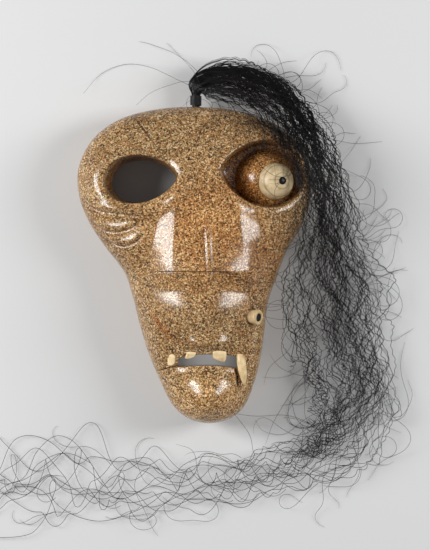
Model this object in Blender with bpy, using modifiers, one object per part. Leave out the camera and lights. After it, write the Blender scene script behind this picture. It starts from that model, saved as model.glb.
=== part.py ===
"""A carved stone face mask with one ivory eye, four ivory teeth, an ivory cheek peg and a tuft of long black horsehair.

Metres, +Z up. The mask lies on the flat rim of its open back with its face up and its forehead towards +Y.
The tuft leaves the top of the forehead, lies over the mask's shoulder and then along the floor round its chin.
The origin is the bottom centre of the whole object's box.
Carving and pose are shares of the mask's own width and height; walls, inlays and fits have sizes of their own.
"""
import math

import bmesh
import bpy
import numpy as np
from mathutils import Matrix, Vector

# The mask's own size
MASK_WIDTH = 0.187
MASK_HEIGHT = 0.250
FACE_DEPTH = 0.062
SIDE_HEIGHT = 0.026
RIM_TUCK = 0.005
WALL = 0.014
CAVITY_DEPTH = 0.038

# Carving, as heights above or below the plain dome
NOSE_RISE = 0.012
NOSE_UNDERCUT = 0.002
MUZZLE_RISE = 0.006
CHIN_RISE = 0.0125
LIP_RISE = 0.0030
LID_RISE = 0.003
FOLD_RISE = 0.0024
GROOVE_DEPTH = 0.0016
GROOVE_WIDTH = 0.0032
SOCKET_FLOOR = 0.040
LINE_CUT = 0.002

# Inlays and their fits
FIT_GAP = 0.0003
STONE_EYE_RADIUS = 0.027
STONE_EYE_TOP = 0.051
IVORY_EYE_RADIUS = 0.0146
IVORY_EYE_TOP = 0.0580
IVORY_EYE_BACK = 0.4
PUPIL_RADIUS = 0.0029
PUPIL_LENGTH = 0.005
PUPIL_TILT = math.radians(24)
PEG_RADIUS = 0.0056
PEG_LENGTH = 0.0145
PEG_OUTSIDE = 0.0075
PEG_TILT = math.radians(58)
PEG_EYE_RADIUS = 0.0032
PEG_EYE_DEPTH = 0.004
TOOTH_THICKNESS = 0.007
TOOTH_PROUD = 0.0012
FANG_LENGTH = 0.0250
FANG_WIDTH = 0.0066

# The tuft and its binding
TUFT_RADIUS = 0.0032
TUFT_LEVEL = 0.017
TUFT_SEAT_DEPTH = 0.008
BINDING_LENGTH = 0.0087
BINDING_THICKNESS = 0.0012
BINDING_TURNS = 5
DRAPE_CLEARANCE = 0.004
DRAPE_SLOPE = 0.95

# Mesh fineness
SKIN_SUBDIVISIONS = 7
SKIN_KEPT = 0.056
CAVITY_SUBDIVISIONS = 4
DOME_POWER = 2.4
WALL_ANGLE = math.radians(20)

# The outline seen from the front, as shares of width and height
OUTLINE = (
    (-0.003, 0.500), (0.153, 0.491), (0.280, 0.465), (0.382, 0.424), (0.458, 0.364), (0.496, 0.285),
    (0.487, 0.199), (0.445, 0.120), (0.386, 0.047), (0.344, -0.035), (0.305, -0.120), (0.291, -0.206),
    (0.276, -0.285), (0.251, -0.364), (0.208, -0.443), (0.141, -0.487), (0.052, -0.500), (-0.033, -0.484),
    (-0.100, -0.440), (-0.151, -0.364), (-0.198, -0.282), (-0.236, -0.190), (-0.265, -0.104),
    (-0.303, -0.022), (-0.379, 0.054), (-0.447, 0.130), (-0.489, 0.206), (-0.500, 0.285), (-0.473, 0.354),
    (-0.409, 0.418), (-0.299, 0.468), (-0.151, 0.494),
)
DOME_CENTRE = (0.012, 0.040)

# The tuft's way over the shoulder and round the chin: place as shares, then half width and thickness in metres
TUFT_ROUTE = (
    (0.000, 0.556, 0.0032, 0.0064),
    (0.020, 0.592, 0.0070, 0.0080),
    (0.075, 0.606, 0.0105, 0.0095),
    (0.150, 0.598, 0.0130, 0.0110),
    (0.240, 0.570, 0.0165, 0.0120),
    (0.335, 0.515, 0.0190, 0.0130),
    (0.420, 0.436, 0.0210, 0.0140),
    (0.490, 0.335, 0.0220, 0.0150),
    (0.540, 0.220, 0.0230, 0.0160),
    (0.575, 0.108, 0.0260, 0.0170),
    (0.600, -0.005, 0.0305, 0.0185),
    (0.630, -0.115, 0.0340, 0.0200),
    (0.662, -0.225, 0.0345, 0.0210),
    (0.690, -0.330, 0.0325, 0.0205),
    (0.695, -0.430, 0.0300, 0.0195),
    (0.655, -0.525, 0.0280, 0.0180),
    (0.570, -0.595, 0.0255, 0.0160),
    (0.455, -0.645, 0.0225, 0.0140),
    (0.325, -0.680, 0.0200, 0.0120),
    (0.170, -0.705, 0.0180, 0.0100),
    (0.000, -0.725, 0.0170, 0.0085),
    (-0.170, -0.735, 0.0175, 0.0075),
    (-0.340, -0.730, 0.0195, 0.0070),
    (-0.510, -0.722, 0.0215, 0.0065),
    (-0.680, -0.725, 0.0220, 0.0060),
    (-0.830, -0.740, 0.0190, 0.0055),
    (-0.960, -0.760, 0.0130, 0.0045),
    (-1.050, -0.775, 0.0060, 0.0030),
)
TUFT_SIDES = 10
TUFT_STEPS = 2

# The folds under the open eye, each from the mask's edge inwards
FOLDS = (
    ((-0.489, 0.218), (-0.445, 0.189), (-0.393, 0.170), (-0.299, 0.160), (-0.219, 0.153), (-0.185, 0.153)),
    ((-0.456, 0.149), (-0.393, 0.114), (-0.329, 0.106), (-0.270, 0.117), (-0.223, 0.136)),
    ((-0.409, 0.095), (-0.347, 0.070), (-0.303, 0.060), (-0.257, 0.070), (-0.206, 0.101)),
)

# The nose wedge: shares of width and height at the brow and at its base
NOSE_TOP, NOSE_BASE = (0.035, 0.400), (0.060, -0.019)
NOSE_HALF_WIDTHS = (0.051, 0.186)
NOSE_FLANKS = (0.040, 0.100)

# Teeth pegs: the middle as shares, then width and height in metres and lean in degrees
TEETH = (
    ("tooth_left", (-0.102, -0.302), 0.0078, 0.0098, -12),
    ("tooth_middle", (-0.021, -0.285), 0.0094, 0.0080, -4),
    ("tooth_right", (0.101, -0.290), 0.0110, 0.0106, 4),
)
FANG_ROOT, FANG_LEAN = (0.194, -0.281), 6
MOUTH_MIDDLE, MOUTH_HALF_LENGTH = (0.052, -0.297), 0.127
MOUTH_HALF_OPENING = 0.0044
MOUTH_ARCH = 0.010
MOUTH_ENDS = ((-0.158, -0.330), (0.170, -0.318), (0.182, -0.380))
CHIN, MUZZLE = (0.050, -0.455), (0.018, -0.165)
IVORY_EYE, STONE_EYE = (0.333, 0.263), (0.295, 0.270)
CHEEK_PEG = (0.2335, -0.162)


def metres(place):
    """A place given as shares of the mask's width and height."""
    return np.array([place[0] * MASK_WIDTH, place[1] * MASK_HEIGHT])


def smooth(value, low, high):
    """0 below low, 1 above high and an even curve between."""
    t = np.clip((value - low) / (high - low), 0, 1)
    return t * t * (3 - 2 * t)


def curve_through(points, steps, closed=False):
    """Points along a smooth curve that passes through every given point."""
    p = np.asarray(points, float)
    ends = (p[-1:], p[:2]) if closed else (2 * p[:1] - p[1:2], 2 * p[-1:] - p[-2:-1])
    p = np.vstack([ends[0], p, ends[1]])
    t = (np.arange(steps) / steps)[:, None]
    spans = []
    for a, b, c, d in zip(p, p[1:], p[2:], p[3:]):
        spans.append(0.5 * (2 * b + (c - a) * t + (2 * a - 5 * b + 4 * c - d) * t**2
                            + (3 * b - a - 3 * c + d) * t**3))
    if not closed:
        spans.append(p[-2:-1])
    return np.vstack(spans)


OUTLINE_POINTS = curve_through([metres(p) for p in OUTLINE], 12, closed=True)
CENTRE = metres(DOME_CENTRE)


def outline_radius(theta):
    """Distance from the dome's centre to the outline, along a direction."""
    away = OUTLINE_POINTS - CENTRE
    angles = np.arctan2(away[:, 1], away[:, 0])
    order = np.argsort(angles)
    return np.interp(theta, angles[order], np.hypot(*away.T)[order], period=2 * math.pi)


def dome_height(x, y, inset=0.0, side=SIDE_HEIGHT, crown=FACE_DEPTH):
    """The plain dome's height, and how far out each point is, from 0 at the centre to 1 at the outline."""
    dx, dy = x - CENTRE[0], y - CENTRE[1]
    out = np.hypot(dx, dy) / (outline_radius(np.arctan2(dy, dx)) - inset)
    rise = (1 - np.clip(out, 0, 1) ** DOME_POWER) ** (1 / DOME_POWER)
    return side + (crown - side) * rise, out


def almond(middle, half_length, half_height, tilt, inner, points=32):
    """An eye's edge: round at the outer end and pointed at the inner one, where inner is +1 or -1 along x."""
    a = np.arange(points) * 2 * math.pi / points
    reach = np.cos(a)
    height = np.sin(a) * np.sin(a / 2) ** 0.35
    height = height / np.abs(height).max()
    x, y = inner * half_length * MASK_WIDTH * reach, half_height * MASK_HEIGHT * height
    c, s = math.cos(tilt), math.sin(tilt)
    edge = np.column_stack([c * x - s * y, s * x + c * y]) + metres(middle)
    return edge if inner > 0 else edge[::-1]


OPEN_EYE = almond((-0.230, 0.269), 0.157, 0.0755, math.radians(5), 1)
DEEP_EYE = almond((0.2825, 0.287), 0.182, 0.107, math.radians(-4), -1)


def distance_to(edge, x, y):
    """Signed distance to a closed edge, below 0 inside it."""
    best, inside = np.full(x.shape, 1e9), np.zeros(x.shape, bool)
    for (ax, ay), (bx, by) in zip(edge, np.roll(edge, -1, axis=0)):
        dx, dy = bx - ax, by - ay
        t = np.clip(((x - ax) * dx + (y - ay) * dy) / (dx * dx + dy * dy), 0, 1)
        best = np.minimum(best, np.hypot(x - ax - t * dx, y - ay - t * dy))
        crosses = ((ay > y) != (by > y)) & (x < (bx - ax) * (y - ay) / (by - ay + 1e-12) + ax)
        inside ^= crosses
    return np.where(inside, -best, best)


def mound(x, y, middle, half_width, half_height, height):
    """A soft swelling, with its half sizes as shares."""
    mx, my = metres(middle)
    r = ((x - mx) / (half_width * MASK_WIDTH)) ** 2 + ((y - my) / (half_height * MASK_HEIGHT)) ** 2
    return height * np.exp(-r)


def mouth_line(x):
    """The arched middle line of the mouth."""
    mx, my = metres(MOUTH_MIDDLE)
    s = (x - mx) / (MOUTH_HALF_LENGTH * MASK_WIDTH)
    return my - MOUTH_ARCH * MASK_HEIGHT * s**2, s


def nose(x, y):
    """A wedge with a narrow ridge, two fronts, steep flanks and a cut base."""
    (tx, ty), (bx, by) = metres(NOSE_TOP), metres(NOSE_BASE)
    t = np.clip((ty - y) / (ty - by), 0, 1)
    half, flank = (MASK_WIDTH * (a + (b - a) * t) for a, b in (NOSE_HALF_WIDTHS, NOSE_FLANKS))
    s = np.abs(x - tx - (bx - tx) * t) / half
    front = 1 - 0.28 * np.clip((s - 0.07) / 0.93, 0, 1)
    off = (s - 1) * half
    side = 1 - 0.7 * np.clip(off / flank, 0, 1) - 0.3 * smooth(off, -0.1 * flank, flank)
    base = np.clip((y - by) / NOSE_UNDERCUT + 1, 0, 1)
    return NOSE_RISE * t**1.25 * front * side * base


def fold(x, y, line):
    """A pouch of skin above a fold's line; the groove on the line itself is cut later."""
    points = curve_through([metres(p) for p in line], 8)
    along = np.interp(x, points[:, 0], points[:, 1])
    first, last = points[0, 0], points[-1, 0]
    fade = smooth(x, first - 0.004, first + 0.004) * (1 - smooth(x, last - 0.012, last + 0.001))
    return fade * FOLD_RISE * np.exp(-(((y - along - 0.0040) / 0.0038) ** 2))


def carving(x, y):
    """How far the carved surface stands off the plain dome."""
    line, s = mouth_line(x)
    at_mouth = 1 - smooth(np.abs(s), 0.9, 1.35)
    lips = np.exp(-(((y - line - 0.0125) / 0.0060) ** 2)) + 0.5 * np.exp(-(((y - line + 0.0085) / 0.0040) ** 2))
    lid, deep_lid = (distance_to(edge, x, y) for edge in (OPEN_EYE, DEEP_EYE))
    relief = nose(x, y) + LIP_RISE * at_mouth * lips
    relief += mound(x, y, MUZZLE, 0.235, 0.150, MUZZLE_RISE) + mound(x, y, CHIN, 0.150, 0.100, CHIN_RISE)
    relief += LID_RISE * np.exp(-(((lid - 0.006) / 0.007) ** 2))
    relief += 0.6 * LID_RISE * np.exp(-(((deep_lid - 0.004) / 0.006) ** 2))
    for line in FOLDS:
        relief += fold(x, y, line)
    return relief


def surface(place):
    """The carved surface's height at a place."""
    x, y = (np.array([value]) for value in metres(place))
    return float(dome_height(x, y)[0][0] + carving(x, y)[0])


def material(name, colour, roughness, metallic=0.0):
    made = bpy.data.materials.new(name)
    made.use_nodes = True
    shader = made.node_tree.nodes["Principled BSDF"]
    shader.inputs["Base Color"].default_value = (*colour, 1)
    shader.inputs["Roughness"].default_value = roughness
    shader.inputs["Metallic"].default_value = metallic
    return made


def add(name, bm, finish=None):
    """The finished bmesh as an object: a piece in the mask's collection, or a cutter where it has no finish."""
    bmesh.ops.recalc_face_normals(bm, faces=bm.faces)
    mesh = bpy.data.meshes.new(name)
    bm.to_mesh(mesh)
    bm.free()
    made = bpy.data.objects.new(name, mesh)
    if finish is None:
        cutters.objects.link(made)
        made.hide_render = True
        made.display_type = "WIRE"
    else:
        pieces.objects.link(made)
        mesh.materials.append(finish)
        mesh.shade_smooth()
        mesh.set_sharp_from_angle(angle=math.radians(40))
    made.parent = stand
    return made


def cut(target, cutter, name):
    modifier = target.modifiers.new(name, "BOOLEAN")
    modifier.operation = "DIFFERENCE"
    modifier.object = cutter


def loft(sections):
    """A closed body through sections that have the same number of points."""
    bm = bmesh.new()
    rings = [[bm.verts.new(point) for point in section] for section in sections]
    for low, high in zip(rings, rings[1:]):
        for i in range(len(low)):
            j = (i + 1) % len(low)
            bm.faces.new((low[i], low[j], high[j], high[i]))
    bm.faces.new(rings[0][::-1])
    bm.faces.new(rings[-1])
    return bm


def prism(edge, levels):
    """A body with one edge at each level; a level is (height, size, shift)."""
    middle = edge.mean(axis=0)
    sections = []
    for height, size, shift in levels:
        flat = middle + (edge - middle) * size + np.array(shift)
        sections.append(np.column_stack([flat, np.full(len(flat), height)]))
    return loft(sections)


def turned(profile, steps=24):
    """A closed body turned about Z from a profile of (radius, height) points, outer side first from the top."""
    bm = bmesh.new()
    points = [bm.verts.new((radius, 0, height)) for radius, height in profile]
    for a, b in zip(points, points[1:] + points[:1] if profile[0][0] > 0 else points[1:]):
        bm.edges.new((a, b))
    mesh = bpy.data.meshes.new("profile")
    bm.to_mesh(mesh)
    bm.free()
    holder = bpy.data.objects.new("profile", mesh)
    cutters.objects.link(holder)
    screw = holder.modifiers.new("turn", "SCREW")
    screw.steps = screw.render_steps = steps
    screw.use_merge_vertices = True
    screw.merge_threshold = 0.00002
    graph = bpy.context.evaluated_depsgraph_get()
    graph.update()
    turned_mesh = bpy.data.meshes.new_from_object(holder.evaluated_get(graph))
    bm = bmesh.new()
    bm.from_mesh(turned_mesh)
    bmesh.ops.remove_doubles(bm, verts=bm.verts, dist=0.00002)
    bpy.data.objects.remove(holder)
    return bm


def half_ball(subdivisions):
    """The part of a fine ball above the level where the mask's side meets the rim."""
    bm = bmesh.new()
    bmesh.ops.create_icosphere(bm, subdivisions=subdivisions, radius=1)
    geometry = bm.verts[:] + bm.edges[:] + bm.faces[:]
    level = -math.sin(WALL_ANGLE)
    bmesh.ops.bisect_plane(bm, geom=geometry, plane_co=(0, 0, level), plane_no=(0, 0, 1), clear_inner=True)
    return bm


def shaped_dome(subdivisions, inset, side, crown, tuck, foot):
    """A half ball drawn out to the mask's outline: a dome on a side wall that tucks in to its foot."""
    bm = half_ball(subdivisions)
    ball = np.array([v.co for v in bm.verts])
    angle = np.arccos(np.clip(ball[:, 2], -1, 1))
    theta = np.arctan2(ball[:, 1], ball[:, 0])
    above = np.clip(angle, 0, math.pi / 2)
    down = np.clip((angle - math.pi / 2) / WALL_ANGLE, 0, 1)
    out = np.sin(above) ** (2 / DOME_POWER) * (outline_radius(theta) - inset) - tuck * down**1.5
    rise = np.maximum(np.cos(above), 0) ** (2 / DOME_POWER)
    height = np.where(down > 0, side + (foot - side) * down, side + (crown - side) * rise)
    for vert, r, t, z in zip(bm.verts, out, theta, height):
        vert.co = (CENTRE[0] + r * math.cos(t), CENTRE[1] + r * math.sin(t), z)
    bm.normal_update()
    return bm


def close_foot(bm):
    bmesh.ops.holes_fill(bm, edges=[e for e in bm.edges if e.is_boundary], sides=0)


def mask_body():
    """The stone mask before anything is cut out of it, with edges laid along the cut under the nose."""
    bm = shaped_dome(SKIN_SUBDIVISIONS, 0, SIDE_HEIGHT, FACE_DEPTH, RIM_TUCK, -0.002)
    for step in (0, -NOSE_UNDERCUT):
        geometry = bm.verts[:] + bm.edges[:] + bm.faces[:]
        level = (0, metres(NOSE_BASE)[1] + step, 0)
        bmesh.ops.bisect_plane(bm, geom=geometry, dist=0.0003, plane_co=level, plane_no=(0, 1, 0), use_snap_center=True)
    bm.normal_update()
    places = np.array([v.co for v in bm.verts])
    relief = carving(places[:, 0], places[:, 1])
    for vert, height in zip(bm.verts, relief):
        vert.co.z += float(height) * max(0.0, vert.normal.z) ** 0.5
    close_foot(bm)
    body = add("mask", bm, stone)
    thin = body.modifiers.new("fewer_faces", "DECIMATE")
    thin.ratio = SKIN_KEPT
    return body


def below_rim():
    bm = bmesh.new()
    bmesh.ops.create_cube(bm, size=1)
    reach = 2 * (MASK_WIDTH + MASK_HEIGHT)
    bmesh.ops.scale(bm, vec=(reach, reach, 0.02), verts=bm.verts)
    bmesh.ops.translate(bm, vec=(0, 0, -0.01), verts=bm.verts)
    return add("below_rim", bm)


def hollow():
    bm = shaped_dome(CAVITY_SUBDIVISIONS, WALL, 0.008, CAVITY_DEPTH, 0, -0.004)
    close_foot(bm)
    return add("hollow", bm)


def open_eye_cutter():
    """The eye hole narrows through the stone, most at its outer and upper sides."""
    shift = (0.0022, -0.0012)
    levels = ((-0.003, 0.82, shift), (0.026, 0.82, shift), (0.047, 1.0, (0, 0)), (0.090, 1.0, (0, 0)))
    return add("open_eye_cutter", prism(OPEN_EYE, levels))


def deep_eye_cutter():
    """The other eye is a deep socket round a stone eyeball, so the eyeball is left out of the cutter."""
    levels = ((SOCKET_FLOOR, 0.90, (0, 0)), (0.056, 1.0, (0, 0)), (0.090, 1.0, (0, 0)))
    cutter = add("deep_eye_cutter", prism(DEEP_EYE, levels))
    bm = bmesh.new()
    bmesh.ops.create_uvsphere(bm, u_segments=24, v_segments=16, radius=STONE_EYE_RADIUS)
    x, y = metres(STONE_EYE)
    bmesh.ops.translate(bm, vec=(x, y, STONE_EYE_TOP - STONE_EYE_RADIUS), verts=bm.verts)
    cut(cutter, add("stone_eyeball", bm), "keep_the_eyeball")
    return cutter


def mouth_cutter():
    """The mouth is an arched slot right through the stone."""
    mx, _ = metres(MOUTH_MIDDLE)
    half = MOUTH_HALF_LENGTH * MASK_WIDTH
    x = mx + half * np.cos(np.linspace(math.pi, 0, 17))
    line, s = mouth_line(x)
    open_half = MOUTH_HALF_OPENING * (1 - 0.35 * np.abs(s) ** 3)
    top, bottom = np.column_stack([x, line + open_half]), np.column_stack([x, line - open_half])
    edge = np.vstack([bottom, top[::-1]])
    return add("mouth_cutter", prism(edge, ((-0.003, 1, (0, 0)), (0.090, 1, (0, 0)))))


def line_cutter(name, start, end, width, depth):
    """A narrow carved line that runs on from the mouth's corner."""
    (ax, ay), (bx, by) = metres(start), metres(end)
    along = Vector((bx - ax, by - ay, 0)).normalized()
    across = Vector((-along.y, along.x, 0)) * width / 2
    floor = max(surface(start), surface(end)) - depth
    low = [Vector((ax, ay, floor)) - across, Vector((bx, by, floor)) - across * 0.3,
           Vector((bx, by, floor)) + across * 0.3, Vector((ax, ay, floor)) + across]
    high = [point + Vector((0, 0, 0.03)) for point in low]
    return add(name, loft([low, high]))


def fold_cutter(name, line):
    """The groove under a fold of skin, V-shaped and shallower at both ends."""
    points = curve_through([metres(p) for p in line], 3)
    ways = np.gradient(points, axis=0)
    ways /= np.linalg.norm(ways, axis=1)[:, None]
    heights = [dome_height(*point[:, None])[0][0] + carving(*point[:, None])[0] for point in points]
    sections = []
    for i, (point, way, height) in enumerate(zip(points, ways, heights)):
        deep = GROOVE_DEPTH * math.sin(math.pi * (i + 0.4) / (len(points) - 0.2)) ** 0.6
        across = np.array([-way[1], way[0], 0]) * GROOVE_WIDTH / 2
        middle = np.array([*point, height])
        sections.append([middle - (0, 0, deep), middle + across * 0.6 + (0, 0, 0.4 * deep),
                         middle + (0, 0, 0.006), middle - across + (0, 0, 0.4 * deep)])
    return add(name, loft(sections))


def facing(place, share=1.0):
    """The turn that tips an upright piece towards the way the carved surface faces at a place."""
    step = 0.012
    slope = Vector(((surface(place) - surface((place[0] + step, place[1]))) / (step * MASK_WIDTH),
                    (surface(place) - surface((place[0], place[1] + step))) / (step * MASK_HEIGHT), 0))
    return Vector((0, 0, 1)).rotation_difference(Vector((0, 0, 1)) + slope * share).to_matrix()


def tooth(place, width, height, lean, grow=0.0):
    """A squared peg with rounded edges, a little narrower below; grown, it is the open seat for that peg."""
    bm = bmesh.new()
    bmesh.ops.create_cube(bm, size=1)
    size = (width + 2 * grow, height + 2 * grow, TOOTH_THICKNESS + 2 * grow)
    bmesh.ops.scale(bm, vec=size, verts=bm.verts)
    for vert in bm.verts:
        if vert.co.y < 0:
            vert.co.x *= 0.86
    bmesh.ops.bevel(bm, geom=bm.edges[:], offset=0.0011 + grow / 2, segments=2, profile=0.6, affect="EDGES")
    bmesh.ops.rotate(bm, matrix=Matrix.Rotation(math.radians(lean), 3, "Z"), verts=bm.verts)
    if grow:
        for vert in bm.verts:
            vert.co.z += 0.01 if vert.co.z > 0 else 0
    bmesh.ops.translate(bm, vec=(0, 0, TOOTH_PROUD - TOOTH_THICKNESS / 2), verts=bm.verts)
    bmesh.ops.rotate(bm, matrix=facing(place, 0.8), verts=bm.verts)
    bmesh.ops.translate(bm, vec=(*metres(place), surface(place)), verts=bm.verts)
    return bm


def fang(grow=0.0):
    """The long pointed tooth, oval in section, which stands out over the lower jaw."""
    x, y = metres(FANG_ROOT)
    root_level, tip_level = surface(FANG_ROOT) - 0.001, surface((0.205, -0.38)) + 0.0035
    lean = math.radians(FANG_LEAN)
    sections = []
    for t in np.linspace(0, 1, 8):
        half = FANG_WIDTH / 2 * (1 - t**2.2) ** 0.75 * (1 - 0.1 * math.cos(3 * t)) + 0.0003 + grow
        along = -t * (FANG_LENGTH + grow) + (grow if t == 0 else 0)
        middle = (x - math.sin(lean) * along, y + math.cos(lean) * along)
        level = root_level + (tip_level - root_level) * t + 0.0015 * math.sin(math.pi * t)
        a = np.arange(10) * 2 * math.pi / 10
        sections.append(np.column_stack([middle[0] + half * np.cos(a), np.full(10, middle[1]),
                                         level + 1.05 * half * np.sin(a)]))
    return loft(sections)


def ivory_eye():
    """The ivory ball with a flat back, its seat in the stone, and the black pupil in a bore of its own."""
    x, y = metres(IVORY_EYE)
    centre = Vector((x, y, IVORY_EYE_TOP - IVORY_EYE_RADIUS))
    turn = Matrix.Rotation(PUPIL_TILT, 3, "Y")
    made = {}
    for name, grow, finish in (("ivory_eye", 0, ivory), ("ivory_eye_seat", FIT_GAP, None)):
        bm = bmesh.new()
        radius = IVORY_EYE_RADIUS + grow
        bmesh.ops.create_uvsphere(bm, u_segments=24, v_segments=13, radius=radius)
        bmesh.ops.rotate(bm, matrix=turn, verts=bm.verts)
        geometry = bm.verts[:] + bm.edges[:] + bm.faces[:]
        back = (0, 0, -IVORY_EYE_BACK * IVORY_EYE_RADIUS - grow)
        bmesh.ops.bisect_plane(bm, geom=geometry, plane_co=back, plane_no=(0, 0, 1), clear_inner=True)
        close_foot(bm)
        bmesh.ops.translate(bm, vec=centre, verts=bm.verts)
        made[name] = add(name, bm, finish)
    cut(mask, made["ivory_eye_seat"], "ivory_eye_seat")
    reach = IVORY_EYE_RADIUS * 0.985
    plug = ((0, reach + 0.0006), (0.6 * PUPIL_RADIUS, reach + 0.0004), (PUPIL_RADIUS, reach),
            (PUPIL_RADIUS, reach - PUPIL_LENGTH), (0, reach - PUPIL_LENGTH))
    bore = ((0, reach + 0.004), (PUPIL_RADIUS + FIT_GAP, reach + 0.004),
            (PUPIL_RADIUS + FIT_GAP, reach - PUPIL_LENGTH - FIT_GAP), (0, reach - PUPIL_LENGTH - FIT_GAP))
    for name, profile, finish in (("pupil", plug, baleen), ("pupil_seat", bore, None)):
        body = turned(profile, 16)
        bmesh.ops.rotate(body, matrix=turn, verts=body.verts)
        bmesh.ops.translate(body, vec=centre, verts=body.verts)
        made[name] = add(name, body, finish)
    cut(made["ivory_eye"], made["pupil_seat"], "pupil_seat")


def cheek_peg():
    """The ivory peg in the cheek, its seat in the stone and the black disc in its end."""
    x, y = metres(CHEEK_PEG)
    base = Vector((x, y, surface(CHEEK_PEG)))
    turn = Matrix.Rotation(math.radians(-8), 3, "Z") @ Matrix.Rotation(PEG_TILT, 3, "Y")
    low, rim = PEG_OUTSIDE - PEG_LENGTH, 0.0009
    peg = ((0, PEG_OUTSIDE), (PEG_RADIUS - rim, PEG_OUTSIDE), (PEG_RADIUS, PEG_OUTSIDE - rim),
           (PEG_RADIUS, PEG_OUTSIDE - 0.003), (0.93 * PEG_RADIUS, PEG_OUTSIDE - 0.005), (0.93 * PEG_RADIUS, low), (0, low))
    seat_radius = PEG_RADIUS + FIT_GAP
    seat = ((0, 0.02), (seat_radius, 0.02), (seat_radius, low - FIT_GAP), (0, low - FIT_GAP))
    disc_floor = PEG_OUTSIDE - PEG_EYE_DEPTH
    disc = ((0, PEG_OUTSIDE), (PEG_EYE_RADIUS, PEG_OUTSIDE), (PEG_EYE_RADIUS, disc_floor), (0, disc_floor))
    bore_radius = PEG_EYE_RADIUS + FIT_GAP
    bore = ((0, PEG_OUTSIDE + 0.002), (bore_radius, PEG_OUTSIDE + 0.002),
            (bore_radius, disc_floor - FIT_GAP), (0, disc_floor - FIT_GAP))
    made = {}
    for name, profile, finish in (("cheek_peg", peg, ivory), ("cheek_peg_seat", seat, None),
                                  ("cheek_peg_disc", disc, baleen), ("disc_seat", bore, None)):
        body = turned(profile, 16)
        bmesh.ops.rotate(body, matrix=turn, verts=body.verts)
        bmesh.ops.translate(body, vec=base, verts=body.verts)
        made[name] = add(name, body, finish)
    cut(mask, made["cheek_peg_seat"], "cheek_peg_seat")
    cut(made["cheek_peg"], made["disc_seat"], "disc_seat")


def teeth():
    for name, place, width, height, lean in TEETH:
        add(name, tooth(place, width, height, lean), ivory)
        cut(mask, add(name + "_seat", tooth(place, width, height, lean, FIT_GAP)), name + "_seat")
    add("fang", fang(), ivory)
    cut(mask, add("fang_seat", fang(FIT_GAP)), "fang_seat")


def tuft_foot():
    """Where the tuft leaves the top edge of the mask."""
    x = metres((0, 0))[0]
    return Vector((x, CENTRE[1] + float(outline_radius(math.atan2(1, (x - CENTRE[0]) / MASK_HEIGHT))), TUFT_LEVEL))


def tuft_seat(foot):
    profile = ((0, 0.01), (TUFT_RADIUS + FIT_GAP, 0.01), (TUFT_RADIUS + FIT_GAP, -TUFT_SEAT_DEPTH),
               (0, -TUFT_SEAT_DEPTH))
    body = turned(profile, 20)
    bmesh.ops.rotate(body, matrix=Matrix.Rotation(-math.pi / 2, 3, "X"), verts=body.verts)
    bmesh.ops.translate(body, vec=foot, verts=body.verts)
    cut(mask, add("tuft_seat", body), "tuft_seat")


def binding(foot):
    """The cord wound round the foot of the tuft, one round ridge for each turn."""
    inner = TUFT_RADIUS + FIT_GAP
    pitch = BINDING_LENGTH / BINDING_TURNS
    start = 0.0012
    outer = []
    for turn in range(BINDING_TURNS):
        for share in (0.1, 0.5, 0.9):
            swell = BINDING_THICKNESS * (0.7 if share != 0.5 else 1.0)
            outer.append((inner + swell, start + BINDING_LENGTH - (turn + share) * pitch))
    profile = [*outer, (inner, start), (inner, start + BINDING_LENGTH)]
    body = turned(profile, 16)
    bmesh.ops.rotate(body, matrix=Matrix.Rotation(-math.pi / 2, 3, "X"), verts=body.verts)
    bmesh.ops.translate(body, vec=foot, verts=body.verts)
    add("binding", body, cord_black)


def drape(x, y):
    """The height on which hair lies: just above the mask, then down a slope from its shoulder to the floor."""
    turn_over = 0.90
    edge, out = dome_height(x, y)
    dx, dy = x - CENTRE[0], y - CENTRE[1]
    radius = outline_radius(np.arctan2(dy, dx))
    shoulder = SIDE_HEIGHT + (FACE_DEPTH - SIDE_HEIGHT) * (1 - turn_over**DOME_POWER) ** (1 / DOME_POWER)
    slope = shoulder + DRAPE_CLEARANCE - DRAPE_SLOPE * (out - turn_over) * radius
    return np.maximum(np.where(out < turn_over, edge + DRAPE_CLEARANCE, slope), 0)


def tuft(foot):
    """The hair as one flattened body: round at its foot, then lying on the mask's shoulder and on the floor."""
    inside = Vector((0, -TUFT_SEAT_DEPTH + FIT_GAP, 0))
    above_binding = Vector((0, BINDING_LENGTH + 0.0016, 0))
    root = [(*(foot + step).xy, TUFT_RADIUS, 2 * TUFT_RADIUS) for step in (inside, Vector(), above_binding)]
    route = [(*metres(p[:2]), *p[2:]) for p in TUFT_ROUTE[1:]]
    stations = np.array([*root[:2], *curve_through([root[2], *route], TUFT_STEPS)])
    ways = np.gradient(stations[:, :2], axis=0)
    ways[:3] = (0, 1)
    ways /= np.linalg.norm(ways, axis=1)[:, None]
    lift_from = TUFT_LEVEL - TUFT_RADIUS
    a = np.arange(TUFT_SIDES) * 2 * math.pi / TUFT_SIDES
    sections = []
    for i, ((x, y, half_width, thickness), way) in enumerate(zip(stations, ways)):
        across = half_width * np.cos(a)
        px, py = x + way[1] * across, y - way[0] * across
        lie = np.maximum(drape(px, py), lift_from * (1 - smooth(np.float64(i), 11, 19)))
        base = lift_from + smooth(np.float64(i), 3, 11) * (lie - lift_from)
        sections.append(np.column_stack([px, py, base + thickness / 2 * (1 + np.sin(a))]))
    add("hair_tuft", loft(sections), hair_black)


def centre_on_box():
    """Puts the bottom centre of everything's box at the origin."""
    bpy.context.view_layer.update()
    graph = bpy.context.evaluated_depsgraph_get()
    corners = []
    for piece in pieces.objects:
        evaluated = piece.evaluated_get(graph)
        mesh = evaluated.to_mesh()
        places = np.empty(len(mesh.vertices) * 3)
        mesh.vertices.foreach_get("co", places)
        evaluated.to_mesh_clear()
        corners.append(places.reshape(-1, 3))
    every = np.vstack(corners)
    low, high = every.min(axis=0), every.max(axis=0)
    stand.location = (-(low[0] + high[0]) / 2, -(low[1] + high[1]) / 2, -low[2])


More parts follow.
